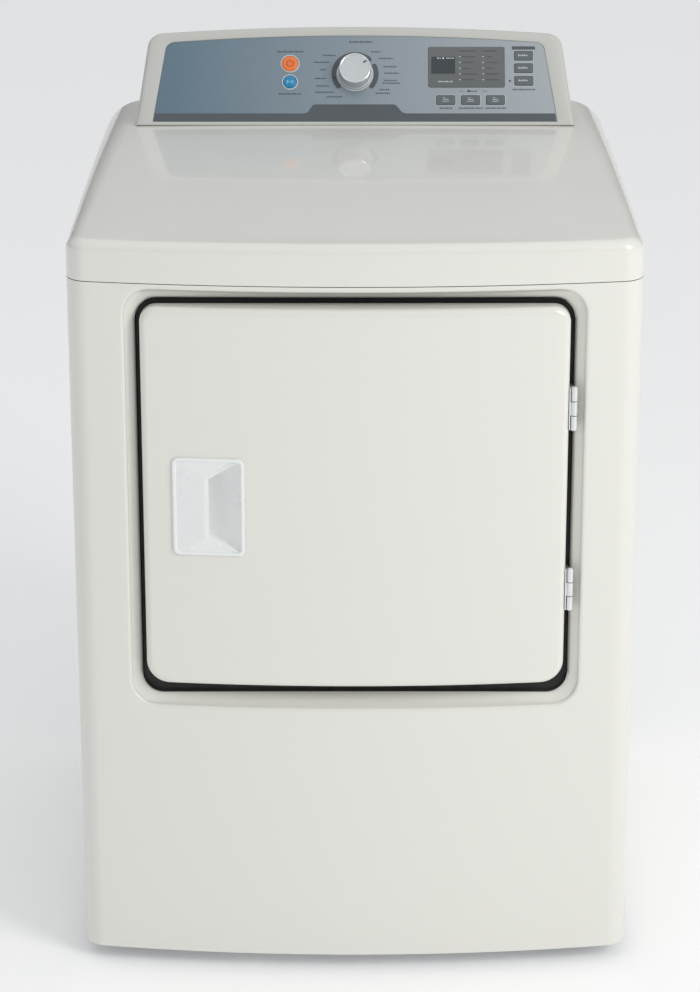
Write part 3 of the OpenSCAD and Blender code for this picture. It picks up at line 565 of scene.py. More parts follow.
def front_panel():
    """Bowed front with the stepped recess of the door and the rolled edge of the drum opening."""
    top, low = SEAM_Z - 1, BASE_Z
    counts = dict(nx=44, nz=30, nc=10)
    edge = corner_arc()
    side = edge[0][0]
    middle = (top + low) / 2
    border = round_rect(side, (top - low) / 2, 60, at=(0, middle), square=True, **counts)
    lip = [RECESS_OUT[0] + 5, RECESS_OUT[1] + 5]
    mouth = round_rect(lip[0], lip[1], 36, at=(0, RECESS_Z), **counts)
    rings = [on_bow(lerp_ring(border, mouth, t / 6)) for t in range(7)]
    for k in range(1, 7):
        a = radians(90 * k / 6)
        grow = 5 * (1 - sin(a))
        points = round_rect(RECESS_OUT[0] + grow, RECESS_OUT[1] + grow, 31 + grow, at=(0, RECESS_Z), **counts)
        rings.append([(x, bow_y(x) + 5 * (1 - cos(a)), z) for x, z in points])
    wall_top = rings[-1]
    foot = at_y(round_rect(*RECESS_IN, 26, at=(0, RECESS_Z), **counts), FLOOR_Y - 4)
    rings += [lerp_ring(wall_top, foot, t / 3) for t in (1, 2, 3)]
    for k in range(1, 5):
        a = radians(90 * k / 4)
        shrunk = 4 * (1 - cos(a))
        points = round_rect(RECESS_IN[0] - shrunk, RECESS_IN[1] - shrunk, 26 - shrunk, at=(0, RECESS_Z),
                            **counts)
        rings.append(at_y(points, FLOOR_Y - 4 + 4 * sin(a)))
    floor_edge = rings[-1]
    opening = at_y(round_rect(OPEN_W / 2 + 3, OPEN_H / 2 + 3, OPEN_R + 3, at=(0, OPEN_Z), **counts), FLOOR_Y)
    rings += [lerp_ring(floor_edge, opening, t / 3) for t in (1, 2, 3)]
    for k in range(1, 5):
        a = radians(90 * k / 4)
        grow = 3 * (1 - sin(a))
        points = round_rect(OPEN_W / 2 + grow, OPEN_H / 2 + grow, OPEN_R + grow, at=(0, OPEN_Z), **counts)
        rings.append(at_y(points, FLOOR_Y + 3 * (1 - cos(a))))
    parts = [loft(rings)]
    heights = sorted({round(z, 6) for x, z in border if abs(x - side) < 1e-6})
    for sign in (-1, 1):
        parts.append(loft([[(sign * x, y, z) for z in heights] for x, y in edge], closed=False))
    verts, faces = joined(parts)
    panel = make_piece("front_panel_skin", verts, faces, "cabinet", MATERIALS["enamel"],
                       replaces=["front_panel"], thickness=SHEET, towards=(0, -9000, 500), sharp=50)
    catch = cutter(*box_mesh((CATCH_X[0], FLOOR_Y - 6, CUP_Z - CATCH_HALF),
                              (CATCH_X[1], FLOOR_Y + 10, CUP_Z + CATCH_HALF)))
    bore = cutter(*loft([at_y(circle(*PLUNGER, PLUNGER_BORE_R), FLOOR_Y - 6),
                         at_y(circle(*PLUNGER, PLUNGER_BORE_R), FLOOR_Y + 10)],
                        caps=(True, True)))
    cut(panel, catch, bore)
    finish_shading(panel, 50)


def seam_shadow_strip():
    """Dark strip set back in the seam between the cabinet and the top panel: painted shadow in the gap."""
    outline = [(x, y) for x, y in corner_arc(2.4)]
    right = outline + [(outline[-1][0], REAR_Y - 4)]
    left = [(-x, y) for x, y in reversed(right)]
    bow = [(x, bow_y(x, -2.4)) for x in (left[-1][0] + (right[0][0] - left[-1][0]) * i / 40
                                         for i in range(1, 40))]
    path = left + bow + right
    rings = []
    for i, (x, y) in enumerate(path):
        inner = (x * 0.995, y + 3)
        rings.append([(x, y, SEAM_Z - 1.6), (x, y, SEAM_Z + 0.6), (*inner, SEAM_Z + 0.6),
                      (*inner, SEAM_Z - 1.6)])
    verts, faces = loft(rings, caps=(True, True))
    make_piece("seam_shadow_strip", verts, faces, "cabinet", PAINTED_GAP_SHADOW)


def recess_shadow_strip():
    """Flat dark strip on the floor of the recess, under the edge of the door, turned up the foot of the wall:
    painted shadow in the gap round the door.
    """
    counts = dict(nx=30, nz=30, nc=8)
    outer, inner, on_wall = (261.5, 251.5), (250.0, 236.0), (262.6, 254.8)
    rings = []
    for half, r, y in ((outer, 24, FLOOR_Y - 0.1), (on_wall, 26, FLOOR_Y - 7.4), (outer, 24, FLOOR_Y - 2.6),
                       (inner, 14, FLOOR_Y - 1.4), (inner, 14, FLOOR_Y - 0.1)):
        rings.append(at_y(round_rect(*half, r, at=(0, RECESS_Z), **counts), y))
    verts, faces = loft(rings, around=True)
    make_piece("recess_shadow_strip", verts, faces, "cabinet", PAINTED_GAP_SHADOW, sharp=40)


# The top panel's skin: columns follow the rim, rows climb the lip, roll over and cross to the middle

def depth_of(y):
    return max(0.0, min(1.0, (y - CORNER_Y) / CAB_D))


def crown_z(x, y):
    return SEAM_Z + LIP_H + CROWN * sin(radians(95 * depth_of(y))) - SIDE_FALL * (2 * x / CAB_W) ** 2


def rim_points(front_n=36, turn_n=16, side_n=40):
    """(x, y, normal x, normal y) along the rim, from the rear left round the front to the rear right."""
    half, big, r = CAB_W / 2 - 0.3, BOW_R, CORNER_R
    rear = REAR_Y - 0.3
    turn_y = BOW_CY - sqrt((big - r) ** 2 - (half - r) ** 2)
    end = asin((half - r) / (big - r))
    points = []
    for i in range(front_n + 1):
        a = end * (i + 0.5) / (front_n + 0.5)
        points.append((big * sin(a), BOW_CY - big * cos(a), sin(a), -cos(a)))
    for i in range(1, turn_n + 1):
        a = end + (pi / 2 - end) * i / turn_n
        points.append((half - r + r * sin(a), turn_y - r * cos(a), sin(a), -cos(a)))
    points += [(half, turn_y + (rear - turn_y) * i / side_n, 1.0, 0.0) for i in range(1, side_n + 1)]
    return [(-x, y, -nx, ny) for x, y, nx, ny in reversed(points)] + points


def top_column(p, roll_n=14, flat_n=16, lip_n=3):
    x, y, nx, ny = p
    side = nx * nx
    reach_in = side * (20 + 36 * depth_of(y)) + (1 - side) * 12
    reach_down = side * (14 + 48 * depth_of(y)) + (1 - side) * 12

    def roll(t):
        a = reach_in * (1 - cos(t))
        px, py = x - nx * a, y - ny * a
        return (px, py, crown_z(px, py) - reach_down * (1 - sin(t)))
    shoulder = roll(0)
    column = [(x, y, SEAM_Z + (shoulder[2] - SEAM_Z) * k / lip_n) for k in range(lip_n)]
    column += [roll(pi / 2 * k / roll_n) for k in range(roll_n + 1)]
    ex, ey, _ = column[-1]
    middle_y = max(ey, CORNER_Y + 120)
    for k in range(1, flat_n + 1):
        t = 0.96 * k / flat_n
        px, py = ex * (1 - t), ey + (middle_y - ey) * t
        column.append((px, py, crown_z(px, py)))
    return column


def top_panel():
    columns = [top_column(p) for p in rim_points()]
    n, rows = len(columns), len(columns[0])
    verts, faces = loft(columns, closed=False)
    last = rows - 1
    for i in range(n // 2 - 1):
        j = n - 1 - i
        faces.append((i * rows + last, (i + 1) * rows + last, (j - 1) * rows + last, j * rows + last))
    for k in range(rows - 1):
        far = (n - 1) * rows + k
        faces.append((k, k + 1, far + 1, far))
    make_piece("top_panel_skin", verts, faces, "cabinet", MATERIALS["enamel"],
               replaces=["top_panel"], thickness=SHEET, towards=(0, -4000, 9000), sharp=50)


# ---------- door ----------

def door_ring(inset, counts):
    top, low = 20.0, 28.0
    return round_rect(DOOR_W / 2 - inset, DOOR_H / 2 - inset, top - inset * 0.6, low - inset * 0.6,
                      at=(0, DOOR_Z), **counts)


def door_panel():
    """Bowed door skin with a soft rolled edge and the hole of the handle cup."""
    counts = dict(nx=40, nz=34, nc=10)
    roll = 8.0
    rings = [at_y(door_ring(0, counts), DOOR_BACK)]
    for k in range(0, 9):
        a = radians(90 * k / 8)
        points = door_ring(roll * (1 - cos(a)), counts)
        rings.append([(x, bow_y(x, DOOR_PROUD) + roll * (1 - sin(a)), z) for x, z in points])
    edge = door_ring(roll, counts)
    hole = round_rect(CUP_W / 2 - 3.5, CUP_H / 2 - 3.5, 6.5, at=(CUP_X, CUP_Z), **counts)
    near = lerp_ring(edge, hole, 0.06)
    rings.append(on_bow(near, DOOR_PROUD))
    rings += [on_bow(lerp_ring(near, hole, t / 12), DOOR_PROUD) for t in range(1, 13)]
    verts, faces = loft(rings)
    make_piece("door_skin", verts, faces, "door", MATERIALS["enamel"],
               replaces=["door_outer_panel"],
               thickness=SHEET, towards=(0, -9000, DOOR_Z), sharp=50)


CUP_TURN = asin(CUP_X / (BOW_R + DOOR_PROUD))
CUP_Y = bow_y(CUP_X, DOOR_PROUD)


def cup_point(u, v, d):
    """A point in the handle cup's frame: u across, v up, d into the door."""
    return (CUP_X + u * cos(CUP_TURN) - d * sin(CUP_TURN), CUP_Y + u * sin(CUP_TURN) + d * cos(CUP_TURN),
            CUP_Z + v)


GRIP_U, GRIP_V, GRIP_D = CUP_W / 2 - 4.6, CUP_H / 2 - 4.6, -1.3
RIDGE_V, RIDGE_U, LIP_U, RIDGE_D, LIP_D = 38.0, -4.0, 1.2, -7.4, -7.2
GRIP_SHORT = 5.0


def scoop_curve(u, d, share, n):
    """Bezier across the scoop: in behind the lip, down, and up to the right edge. share is 0 at its ends."""
    points = [(u, d), (u - 34 * share, d + 8 * share), (u - 14 * share, d + 44 * share), (GRIP_U, GRIP_D)]
    curve = []
    for i in range(1, n + 1):
        t = i / n
        weights = ((1 - t) ** 3, 3 * (1 - t) ** 2 * t, 3 * (1 - t) * t * t, t ** 3)
        curve.append(tuple(sum(w * p[k] for w, p in zip(weights, points)) for k in (0, 1)))
    return curve


def grip_row(v):
    """One row across the grip: up the flap to its ridge, over the lip, and through the scoop."""
    t = max(0.0, (abs(v) - RIDGE_V) / (GRIP_V - RIDGE_V))
    far = GRIP_U - GRIP_SHORT if v > 0 else GRIP_U - 0.5
    left = (-GRIP_U, GRIP_D)
    ridge = lerp((RIDGE_U, RIDGE_D), left, t)
    lip = lerp((LIP_U, LIP_D), (far, GRIP_D), t)
    share = max(0.0, 1 - abs(v / GRIP_V) ** 4)
    row = [lerp(left, ridge, i / 10) for i in range(11)] + [lerp(ridge, lip, i / 6) for i in range(1, 7)]
    row += scoop_curve(*lip, share, 24)
    return [cup_point(u, v, d) for u, d in row]


def handle_cup():
    """Rim of the cup, and in it a raised flap with a finger scoop that runs in behind its lip."""
    counts = dict(nx=24, nz=24, nc=8)
    section = [(0.0, -0.1), (0.0, -1.0), (0.35, -1.8), (1.1, -2.2), (3.8, -2.2), (4.6, -1.9), (5.0, -1.2),
               (5.0, -0.1)]
    rings = []
    for inset, d in section:
        points = round_rect(CUP_W / 2 - inset, CUP_H / 2 - inset, 8 - inset * 0.8, **counts)
        rings.append([cup_point(u, v, d) for u, v in points])
    verts, faces = loft(rings, around=True)
    make_piece("handle_cup_rim", verts, faces, "door", MATERIALS["handle_white"], sharp=40)
    end = [RIDGE_V + (GRIP_V - RIDGE_V) * i / 12 for i in range(1, 13)]
    middle = [RIDGE_V * (i - 12) / 12 for i in range(25)]
    levels = [-v for v in reversed(end)] + middle + end
    verts, faces = loft([grip_row(v) for v in levels], closed=False)
    make_piece("handle_cup_moulding", verts, faces, "door", MATERIALS["handle_white"],
               replaces=["door_handle_cup"], thickness=1.4, towards=(CUP_X, -9000, CUP_Z), sharp=24)


# ---------- console ----------

def face_ring(half_foot, taper, low, high, r, inset=0.0, foot_inset=0.0, arch=ARCH, counts=(30, 16, 8)):
    """The outline of the console frame or fascia on the face: foot, right side, corner, arched top, left."""
    n_across, n_side, n_corner = counts
    half_foot, high, r = half_foot - inset, high - inset, max(r - inset, 0.8)
    low = low + foot_inset
    shoulder = high - arch
    top_half = half_foot - taper * (shoulder - r) - r
    foot_half = half_foot - taper * low
    right = [lerp((foot_half, low), (top_half + r, shoulder - r), i / n_side) for i in range(n_side)]
    corner = [(top_half + r * cos(t), shoulder - r + r * sin(t))
              for t in (pi / 2 * i / n_corner for i in range(n_corner))]
    top = [(top_half * (1 - 2 * i / n_across), high - arch * (1 - 2 * i / n_across) ** 2)
           for i in range(n_across + 1)]
    left = [(-x, l) for x, l in reversed(right + corner)]
    foot = [lerp((-foot_half, low), (foot_half, low), i / n_across) for i in range(1, n_across)]
    return right + corner + top + left + foot


def frame_ring(inset=0.0):
    return face_ring(FRAME_HALF, FRAME_TAPER, 0, FACE_H + 2, FRAME_ROUND, inset, 0.15 * inset)


def fascia_ring(grow=0.0):
    return face_ring(FASCIA_HALF, FASCIA_TAPER, FASCIA_LOW, FASCIA_HIGH, FASCIA_ROUND, -grow, -grow)


def edge_share(l):
    """How much of the surround's edge rounding is used at a height up the face: little at its foot."""
    return min(1.0, 0.15 + l / 12)


def console_frame():
    """Moulded surround of the fascia with softly rounded outer edges."""
    round_r = 7.0
    rings = []
    for grow, n in ((0.3, -7.0), (0.3, -0.9), (0.55, -0.25), (1.2, 0.0)):
        rings.append([face_point(x, l, n) for x, l in fascia_ring(grow)])
    for k in range(0, 7):
        t = radians(90 * k / 6)
        inner = frame_ring(round_r * (1 - sin(t)))
        ring = []
        for x, l in inner:
            ring.append(face_point(x, l, -round_r * (1 - cos(t)) * edge_share(l)))
        rings.append(ring)
    wall = []
    for x, l in frame_ring():
        back = (FOOT_Y + l * sin(LEAN) - CONSOLE_SPLIT) / cos(LEAN)
        down = -l * cos(LEAN) / sin(LEAN)
        start = -round_r * edge_share(l) - 1.5
        wall.append((x, l, min(start, max(back, down))))
    last = rings[-1]
    for t in (0.33, 0.66, 1.0):
        rings.append([lerp(p, face_point(x, l, n), t) for p, (x, l, n) in zip(last, wall)])
    verts, faces = loft(rings)
    make_piece("console_surround", verts, faces, "cabinet", MATERIALS["console_plastic"],
               replaces=["console_frame"], thickness=2.2, towards=(0, -6000, 4000), sharp=50)


FILM = -1.0


def printed(name, outlines, body, material, low=FILM, thick=0.12):
    """Thin raised print on the fascia."""
    verts, faces = joined([plate(outline, low, low + thick) for outline in outlines])
    return make_piece(name, verts, faces, body, material, sharp=30)


def bar(x, l, w, h, r=None):
    r = min(w, h) * 0.3 if r is None else r
    return round_rect(w / 2, h / 2, r, at=(x, l), nx=1, nz=1, nc=4)


def word(x, l, width, height=2.1, letters=None, align=0.0):
    """A row of small strokes that reads as a label at a distance but spells nothing."""
    letters = letters or max(3, int(width / 2.3))
    pitch = width / letters
    start = x - width * align
    strokes = []
    for i in range(letters):
        tall = height * (1.0 if (i * 7 + letters) % 3 else 0.72)
        strokes.append(bar(start + pitch * (i + 0.5), l - (height - tall) / 2, pitch * 0.62, tall, 0.15))
    return strokes


DIAL = (0.0, 72.6)
ROUND_X, POWER_L, START_L = -86.5, 87.1, 60.9
POWER_R, START_R = 10.8, 9.0
COLUMN_X, COLUMN_LS = 224.5, (98.7, 80.9, 62.9)
ROW_XS, ROW_L = (120.5, 153.4, 186.4), 35.5
DISPLAY, DISPLAY_SIZE = (148.3, 82.4), (102.0, 58.0)


def fascia_prints():
    """Band along the foot, ring round the dial, programme labels, frames of the keys."""
    foot = FASCIA_HALF - FASCIA_TAPER * FASCIA_LOW - 0.6
    high = FASCIA_HALF - FASCIA_TAPER * 16.6 - 0.6
    band = [(-foot, 5.3), (foot, 5.3), (high, 16.6), (68, 16.6), (62.5, 18.2), (54.5, 28.2), (51, 29.4),
            (-53, 29.4), (-56, 28.4), (-63, 18.0), (-67, 16.6), (-high, 16.6)]
    printed("fascia_foot_band", [band], "cabinet", BAND)
    x, l = DIAL
    arcs = [arc_band(x, l, 24.6, 31.4, 48, 188), arc_band(x, l, 24.6, 31.4, -38, 24),
            arc_band(x, l, 24.6, 31.4, 196, 218, 12)]
    printed("dial_ring", arcs, "cabinet", BAND)
    labels = word(x - 8, l + 46, 31, 2.6, 11)
    for angle, width in ((132, 17), (152, 21), (170, 9), (190, 16), (208, 17), (226, 26), (244, 21)):
        px, pl = x + 39 * cos(radians(angle)), l + 36 * sin(radians(angle))
        labels += word(px, pl, width, 2.1, align=1.0)
    for angle, width in ((57, 13), (36, 19), (16, 18), (2, 20), (-14, 18), (-20, 23), (-36, 14), (-46, 20)):
        px, pl = x + 39 * cos(radians(angle)), l + 38 * sin(radians(angle))
        labels += word(px, pl, width, 2.1)
    labels += word(ROUND_X, POWER_L + 17.5, 35, 2.3, 13, align=0.5)
    labels += word(ROUND_X, START_L - 16.5, 30, 2.3, 10, align=0.5)
    for key_x, width in zip(ROW_XS, (17, 32, 28)):
        labels += word(key_x, ROW_L - 11.4, width, 2.2, align=0.5)
    labels += word(153.4, 48.2, 11, 2.0, align=0.2)
    labels += [bar(150.6, 48.4, 3.2, 3.2, 1.5), bar(141, 48.4, 6, 0.5), bar(172, 48.4, 8, 0.5)]
    labels += word(COLUMN_X, 50.6, 30, 2.2, 10, align=0.5)
    labels += [circle(COLUMN_X - 18.5, 62.9, 1.5, 16)]
    printed("programme_labels", labels, "cabinet", PRINT)
    title = bar(COLUMN_X, 109.9, 31, 4.6, 0.6)
    printed("column_title_bar", [title], "cabinet", BAND)
    wells = [bar(COLUMN_X, l, 27.4, 16.2, 3) for l in COLUMN_LS] + [bar(x, ROW_L, 27.4, 16.2, 3)
            for x in ROW_XS]
    rings = []
    for outline in wells:
        inner = shrink(outline, 1.0)
        rings.append(loft([[face_point(x, l, FILM) for x, l in outline],
                           [face_point(x, l, FILM + 0.5) for x, l in shrink(outline, 0.3)],
                           [face_point(x, l, FILM + 0.5) for x, l in shrink(outline, 0.75)],
                           [face_point(x, l, FILM) for x, l in inner]],
                          around=True))
    verts, faces = joined(rings)
    make_piece("key_bezels", verts, faces, "cabinet", PALE_PRINT, sharp=30)


def display():
    """Bezel with rounded edge, sunken screen, segments and the columns of indicator labels."""
    x, l = DISPLAY
    half = (DISPLAY_SIZE[0] / 2, DISPLAY_SIZE[1] / 2)
    rings = []
    for inset, n in ((0.1, -1.9), (0.1, -0.6), (0.5, -0.25), (1.2, -0.15)):
        rings.append([face_point(px, pl, n) for px,
                      pl in round_rect(half[0] - inset, half[1] - inset, 4 - inset, at=(x, l))])
    bezel = loft(rings, caps=(True, True))
    verts, faces = bezel
    make_piece("display_lens", verts, faces, "cabinet", MATERIALS["display_black"],
               replaces=["display_window"], sharp=30)
    printed("display_screen", [bar(117.4, 84.8, 31.8, 24.3, 0.8)], "cabinet", SCREEN,
            low=-0.16, thick=0.06)
    lines = word(109, 95, 6, 1.8, 2) + [bar(117.5, 95, 2.2, 2.6, 0.9)] + word(121, 95, 11, 1.5,
            4) + word(110, 61.5, 20, 1.8, 7)
    printed("display_marks", lines, "cabinet", PALE_PRINT, low=-0.12, thick=0.06)
    columns = word(138, 105.5, 22, 1.9) + word(170, 105.5, 20, 1.9)
    for i, (a, b) in enumerate(((17, 9), (14, 15), (12, 10), (20, 18), (15, 19))):
        row = 97.0 - i * 8.2
        columns += word(143, row, a, 1.9) + word(174, row, b, 1.9)
    printed("display_indicators", columns, "cabinet", PRINT, low=-0.15, thick=0.05)
    lamps = [bar(139.5, 97.0 - i * 8.2, 2.0, 1.2, 0.5)
             for i in range(5)] + [bar(170.5, 97.0 - i * 8.2, 2.0, 1.2, 0.5) for i in range(5)]
    printed("display_lamps", lamps, "cabinet", PALE_PRINT, low=-0.15, thick=0.05)


def face_lathe(profile, x, l, n=96):
    """Turns (radius, height) points about a line square to the console face."""
    rings = []
    for k in range(n):
        a = 2 * pi * k / n
        rings.append([face_point(x + r * cos(a), l + r * sin(a), h) for r, h in profile])
    return loft(rings, closed=False, around=True)


def dial():
    """Knob with a skirt, a bright rolled rim, a dished cap and a printed pointer mark."""
    x, l = DIAL
    skirt = [(3.0, -0.55), (22.5, -0.55), (22.6, 1.6), (22.2, 2.3), (21.5, 2.5), (21.3, 3.1), (21.6, 3.6),
             (21.1, 18.3), (20.9, 18.9), (3.0, 18.9)]
    verts, faces = face_lathe(skirt, x, l)
    make_piece("dial_body", verts, faces, "dial", MATERIALS["dial_silver"], sharp=30)
    rim = [(20.95, 18.6), (21.25, 19.3), (21.1, 20.2), (20.5, 20.9), (19.6, 21.1), (18.9, 20.8), (18.6, 20.3)]
    cap = [(18.9, 18.6), (18.9, 20.35), (18.2, 20.35), (12.0, 20.0), (6.0, 19.8), (0.02, 19.75)]
    verts, faces = face_lathe(rim + [(18.6, 18.6)], x, l)
    make_piece("dial_rim", verts, faces, "dial", CHROME, sharp=40)
    verts, faces = face_lathe(cap + [(0.02, 18.6)], x, l)
    make_piece("dial_cap", verts, faces, "dial", MATERIALS["dial_silver"],
               replaces=["cycle_dial"], sharp=40)
    angle = radians(35)
    along, across = (cos(angle), sin(angle)), (-sin(angle), cos(angle))

    def mark(r, w):
        return (x + along[0] * r + across[0] * w, l + along[1] * r + across[1] * w)
    pointer = [mark(13.4, -0.8), mark(18.0, -1.1), mark(18.0, 1.1), mark(13.4, 0.8)]
    printed("dial_pointer", [pointer], "dial", PRINT, low=20.2, thick=0.35)
    flat = [(22.7, -0.98), (24.4, -0.98), (24.4, -0.45), (23.9, -0.2), (23.1, -0.2), (22.75, -0.45)]
    verts, faces = face_lathe(flat, x, l)
    make_piece("dial_surround", verts, faces, "cabinet", PALE_PRINT, sharp=30)


def round_key(name, node, body, slot, l, r):
    """Domed translucent key in a pale ring."""
    profile = [(0.02, 1.25), (r * 0.5, 1.2), (r * 0.8, 1.0), (r - 0.9, 0.7), (r - 0.3, 0.3), (r, -0.4),
               (r, -9.0), (0.02, -9.0)]
    verts, faces = face_lathe(profile, ROUND_X, l, 64)
    make_piece(name, verts, faces, body, MATERIALS[slot], replaces=[node], sharp=40)
    ring = [(r + 0.35, -0.98), (r + 0.35, 0.0), (r + 0.8, 0.45), (r + 1.5, 0.4), (r + 1.9, -0.1),
            (r + 2.0, -0.98)]
    verts, faces = face_lathe(ring, ROUND_X, l, 64)
    make_piece(name + "_ring", verts, faces, "cabinet", PALE_PRINT, sharp=40)


def key_icons():
    """Generic signs on the two round keys: the standby sign, and a play and pause sign."""
    sign = [arc_band(ROUND_X, POWER_L, 3.7, 4.9, 125, 415), bar(ROUND_X, POWER_L + 3.0, 1.2, 5.2, 0.5)]
    printed("power_sign", sign, "power_key", satin("sign_red", (0.45, 0.07, 0.02), 0.4),
            low=1.08, thick=0.22)
    play = [[(ROUND_X - 4.2, START_L - 2.4), (ROUND_X - 0.4, START_L), (ROUND_X - 4.2, START_L + 2.4)],
            bar(ROUND_X + 1.6, START_L, 1.2, 4.6, 0.3), bar(ROUND_X + 4.0, START_L, 1.2, 4.6, 0.3)]
    printed("start_sign", play, "start_key",
            satin("sign_pale_blue", (0.22, 0.55, 0.80), 0.4), low=1.08, thick=0.2)


KEYS = (("upper", COLUMN_X, COLUMN_LS[0]), ("middle", COLUMN_X, COLUMN_LS[1]),
        ("lower", COLUMN_X, COLUMN_LS[2]),
        ("left", ROW_XS[0], ROW_L), ("centre", ROW_XS[1], ROW_L), ("right", ROW_XS[2], ROW_L))


def option_keys():
    """Six cushion-shaped keys with a small mark on each."""
    for side, x, l in KEYS:
        rings = []
        for inset, h in ((0, -8), (0, -0.2), (0.25, 0.25), (0.8, 0.55), (2.0, 0.62), (4.0, 0.66)):
            points = round_rect(12.5 - inset, 6.9 - inset, max(2.2 - inset * 0.4, 0.6), at=(x, l), nx=8,
                                nz=6, nc=5)
            rings.append([face_point(px, pl, h) for px, pl in points])
        verts, faces = loft(rings, caps=(True, True))
        make_piece("key_" + side, verts, faces, side + "_key", MATERIALS["button_grey"],
                   replaces=["option_button_" + side], sharp=40)
        if x == COLUMN_X:
            marks = word(x - 1, l, 13, 2.2, 5, align=0.5)
        else:
            marks = [bar(x, l + 0.4, 7.5, 0.7), bar(x, l - 2.3, 9, 0.7), bar(x - 2, l + 2.6, 3.2, 0.7)]
        printed("key_mark_" + side, marks, side + "_key", PALE_PRINT, low=0.62, thick=0.09)


# ---------- hinges, feet ----------

def rounded_cylinder_z(x, y, z0, z1, r, edge=0.4, n=32):
    profile = [(0.02, z0), (r - edge, z0), (r, z0 + edge), (r, z1 - edge), (r - edge, z1), (0.02, z1)]
    return lathe_mesh(profile, n=n, axis_at=(x, y, 0), axis="Z")


def hinges():
    fixed, moving = [], []
    for z in HINGE_ZS:
        for s in (-1, 1):
            z0 = z + s * (HINGE_H / 2 - KNUCKLE / 2) - KNUCKLE / 2
            fixed.append(rounded_cylinder_z(HINGE_X, HINGE_Y, z0, z0 + KNUCKLE, BARREL_R))
            fixed.append(box_mesh((HINGE_X - BARREL_R, HINGE_Y, z0),
                                  (HINGE_X - BARREL_R + 2, FLOOR_Y - 0.2, z0 + KNUCKLE), 0.3))
            fixed.append(rounded_cylinder_z(HINGE_X, HINGE_Y, z + s * (HINGE_H / 2 + 0.2) - 0.9,
                                            z + s * (HINGE_H / 2 + 0.2) + 0.9, 2.9, 0.5))
        moving.append(rounded_cylinder_z(HINGE_X, HINGE_Y, z - KNUCKLE / 2 + 0.1, z + KNUCKLE / 2 - 0.1,
                                         BARREL_R))
        moving.append(box_mesh((DOOR_W / 2 + 0.2, HINGE_Y - 2, z - KNUCKLE / 2 + 0.1),
                               (HINGE_X, HINGE_Y, z + KNUCKLE / 2 - 0.1), 0.3))
        moving.append(box_mesh((DOOR_W / 2, HINGE_Y - 3, z - HINGE_H / 2),
                               (DOOR_W / 2 + 1.4, HINGE_Y + 11, z + HINGE_H / 2), 0.3))
    verts, faces = joined(fixed)
    make_piece("hinge_fixed_leaves", verts, faces, "cabinet", MATERIALS["hinge_zinc"],
               replaces=["hinge_leaves_fixed"], sharp=35)
    verts, faces = joined(moving)
    make_piece("hinge_moving_leaves", verts, faces, "door", MATERIALS["hinge_zinc"],
               replaces=["hinge_leaves_moving"], sharp=35)


def feet():
    """Rubber pads on threaded stems, each with a hexagon to turn it by."""
    for side, x in (("left", -FOOT_X), ("right", FOOT_X)):
        for end, y in zip(("front", "rear"), FOOT_YS):
            name = f"{end}_{side}"
            pad = [(0.02, 0.0), (16.0, 0.0), (17.2, 0.5), (19.0, 3.0), (19.0, 6.4), (18.4, 7.4),
                   (16.5, 8.0), (0.02, 8.0)]
            verts, faces = lathe_mesh(pad, n=64, axis_at=(x, y, 0), axis="Z")
            make_piece("foot_pad_" + name, verts, faces, "foot_" + name,
                       MATERIALS["foot_black"],
                       replaces=["levelling_foot_" + name], sharp=35)
            hexagon = circle(x, y, 10.5, 6)
            small = circle(x, y, 9.6, 6)
            rings = [[(px, py, z) for px, py in outline] for outline,
                     z in ((small, 8.0), (hexagon, 8.7), (hexagon, 12.3), (small, 13.0))]
            nut = loft(rings, caps=(True, True))
            thread = []
            for k in range(32):
                thread += [(4.2, 13.0 + k * 0.75), (4.95, 13.4 + k * 0.75)]
            stem = lathe_mesh([(0.02, 12.5), *thread, (0.02, 37.0)], n=32, axis_at=(x, y, 0), axis="Z")
            verts, faces = joined([nut, stem])
            make_piece("foot_stem_" + name, verts, faces, "foot_" + name,
                       MATERIALS["shaft_steel"], sharp=30)


# ---------- floor, light, camera ----------

SKY_AT_HORIZON, SKY_OVERHEAD = 0.17, 0.92


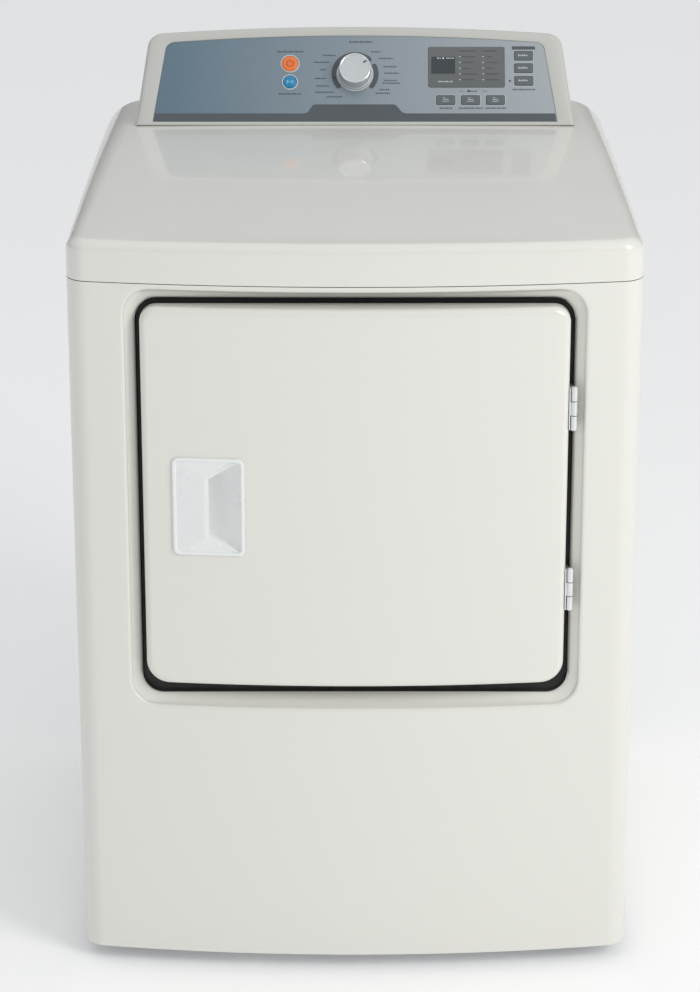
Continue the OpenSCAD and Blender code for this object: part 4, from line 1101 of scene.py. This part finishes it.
def stage():
    """Pale floor that runs out of sight, and a soft sky that is brighter overhead."""
    mesh = bpy.data.meshes.new("floor")
    half = 30.0
    mesh.from_pydata([(-half, -half, 0), (half, -half, 0), (half, half, 0), (-half, half, 0)], [],
                     [(0, 1, 2, 3)])
    floor = bpy.data.objects.new("floor", mesh)
    bpy.context.scene.collection.objects.link(floor)
    s = Shader("floor_paper", (0.93, 0.93, 0.93), 0.75)
    s.set("Emission Color", (1, 1, 1, 1))
    s.set("Emission Strength", 0.12)
    s.vary(s.noise(3, 3), 0.01)
    floor.data.materials.append(s.material)
    world = bpy.data.worlds.new("studio")
    bpy.context.scene.world = world
    world.use_nodes = True
    nodes, links = world.node_tree.nodes, world.node_tree.links
    background = nodes["Background"]
    background.inputs["Color"].default_value = (0.97, 0.985, 1.0, 1)
    direction = nodes.new("ShaderNodeTexCoord")
    height = nodes.new("ShaderNodeSeparateXYZ")
    glow = nodes.new("ShaderNodeMapRange")
    glow.inputs["From Min"].default_value = 0.05
    glow.inputs["From Max"].default_value = 0.95
    glow.inputs["To Min"].default_value = SKY_AT_HORIZON
    glow.inputs["To Max"].default_value = SKY_OVERHEAD
    links.new(direction.outputs["Generated"], height.inputs[0])
    links.new(height.outputs["Z"], glow.inputs["Value"])
    links.new(glow.outputs[0], background.inputs["Strength"])


def area_light(name, at, aim, size, power, colour=(1, 1, 1)):
    light = bpy.data.lights.new(name, "AREA")
    light.shape = "RECTANGLE"
    light.size, light.size_y = size
    light.energy = power
    light.color = colour
    obj = bpy.data.objects.new(name, light)
    bpy.context.scene.collection.objects.link(obj)
    obj.location = at
    obj.rotation_euler = (Vector(aim) - Vector(at)).to_track_quat("-Z", "Y").to_euler()


def lights():
    area_light("key", (2.9, -2.6, 2.7), (0.0, -0.2, 0.6), (1.6, 2.2), 76, (1.0, 0.985, 0.96))
    area_light("fill", (-3.0, -3.2, 1.6), (0.0, -0.2, 0.5), (2.0, 2.0), 7, (0.95, 0.98, 1.0))


def camera():
    data = bpy.data.cameras.new("camera")
    data.sensor_fit = "HORIZONTAL"
    data.sensor_width = 36
    data.lens = 168.1
    data.shift_x = -0.00714
    cam = bpy.data.objects.new("camera", data)
    bpy.context.scene.collection.objects.link(cam)
    cam.location = (0, -4.061, 1.990)
    cam.rotation_euler = (radians(70), 0, 0)
    bpy.context.scene.camera = cam
    bpy.context.scene.view_settings.view_transform = "Standard"


camera()
stage()
lights()
dress_cad()
front_panel()
seam_shadow_strip()
recess_shadow_strip()
top_panel()
door_panel()
handle_cup()
console_frame()
fascia_prints()
display()
dial()
round_key("power_key_cap", "power_button", "power_key", "button_orange", POWER_L, POWER_R)
round_key("start_key_cap", "start_button", "start_key", "button_blue", START_L, START_R)
key_icons()
option_keys()
hinges()
feet()
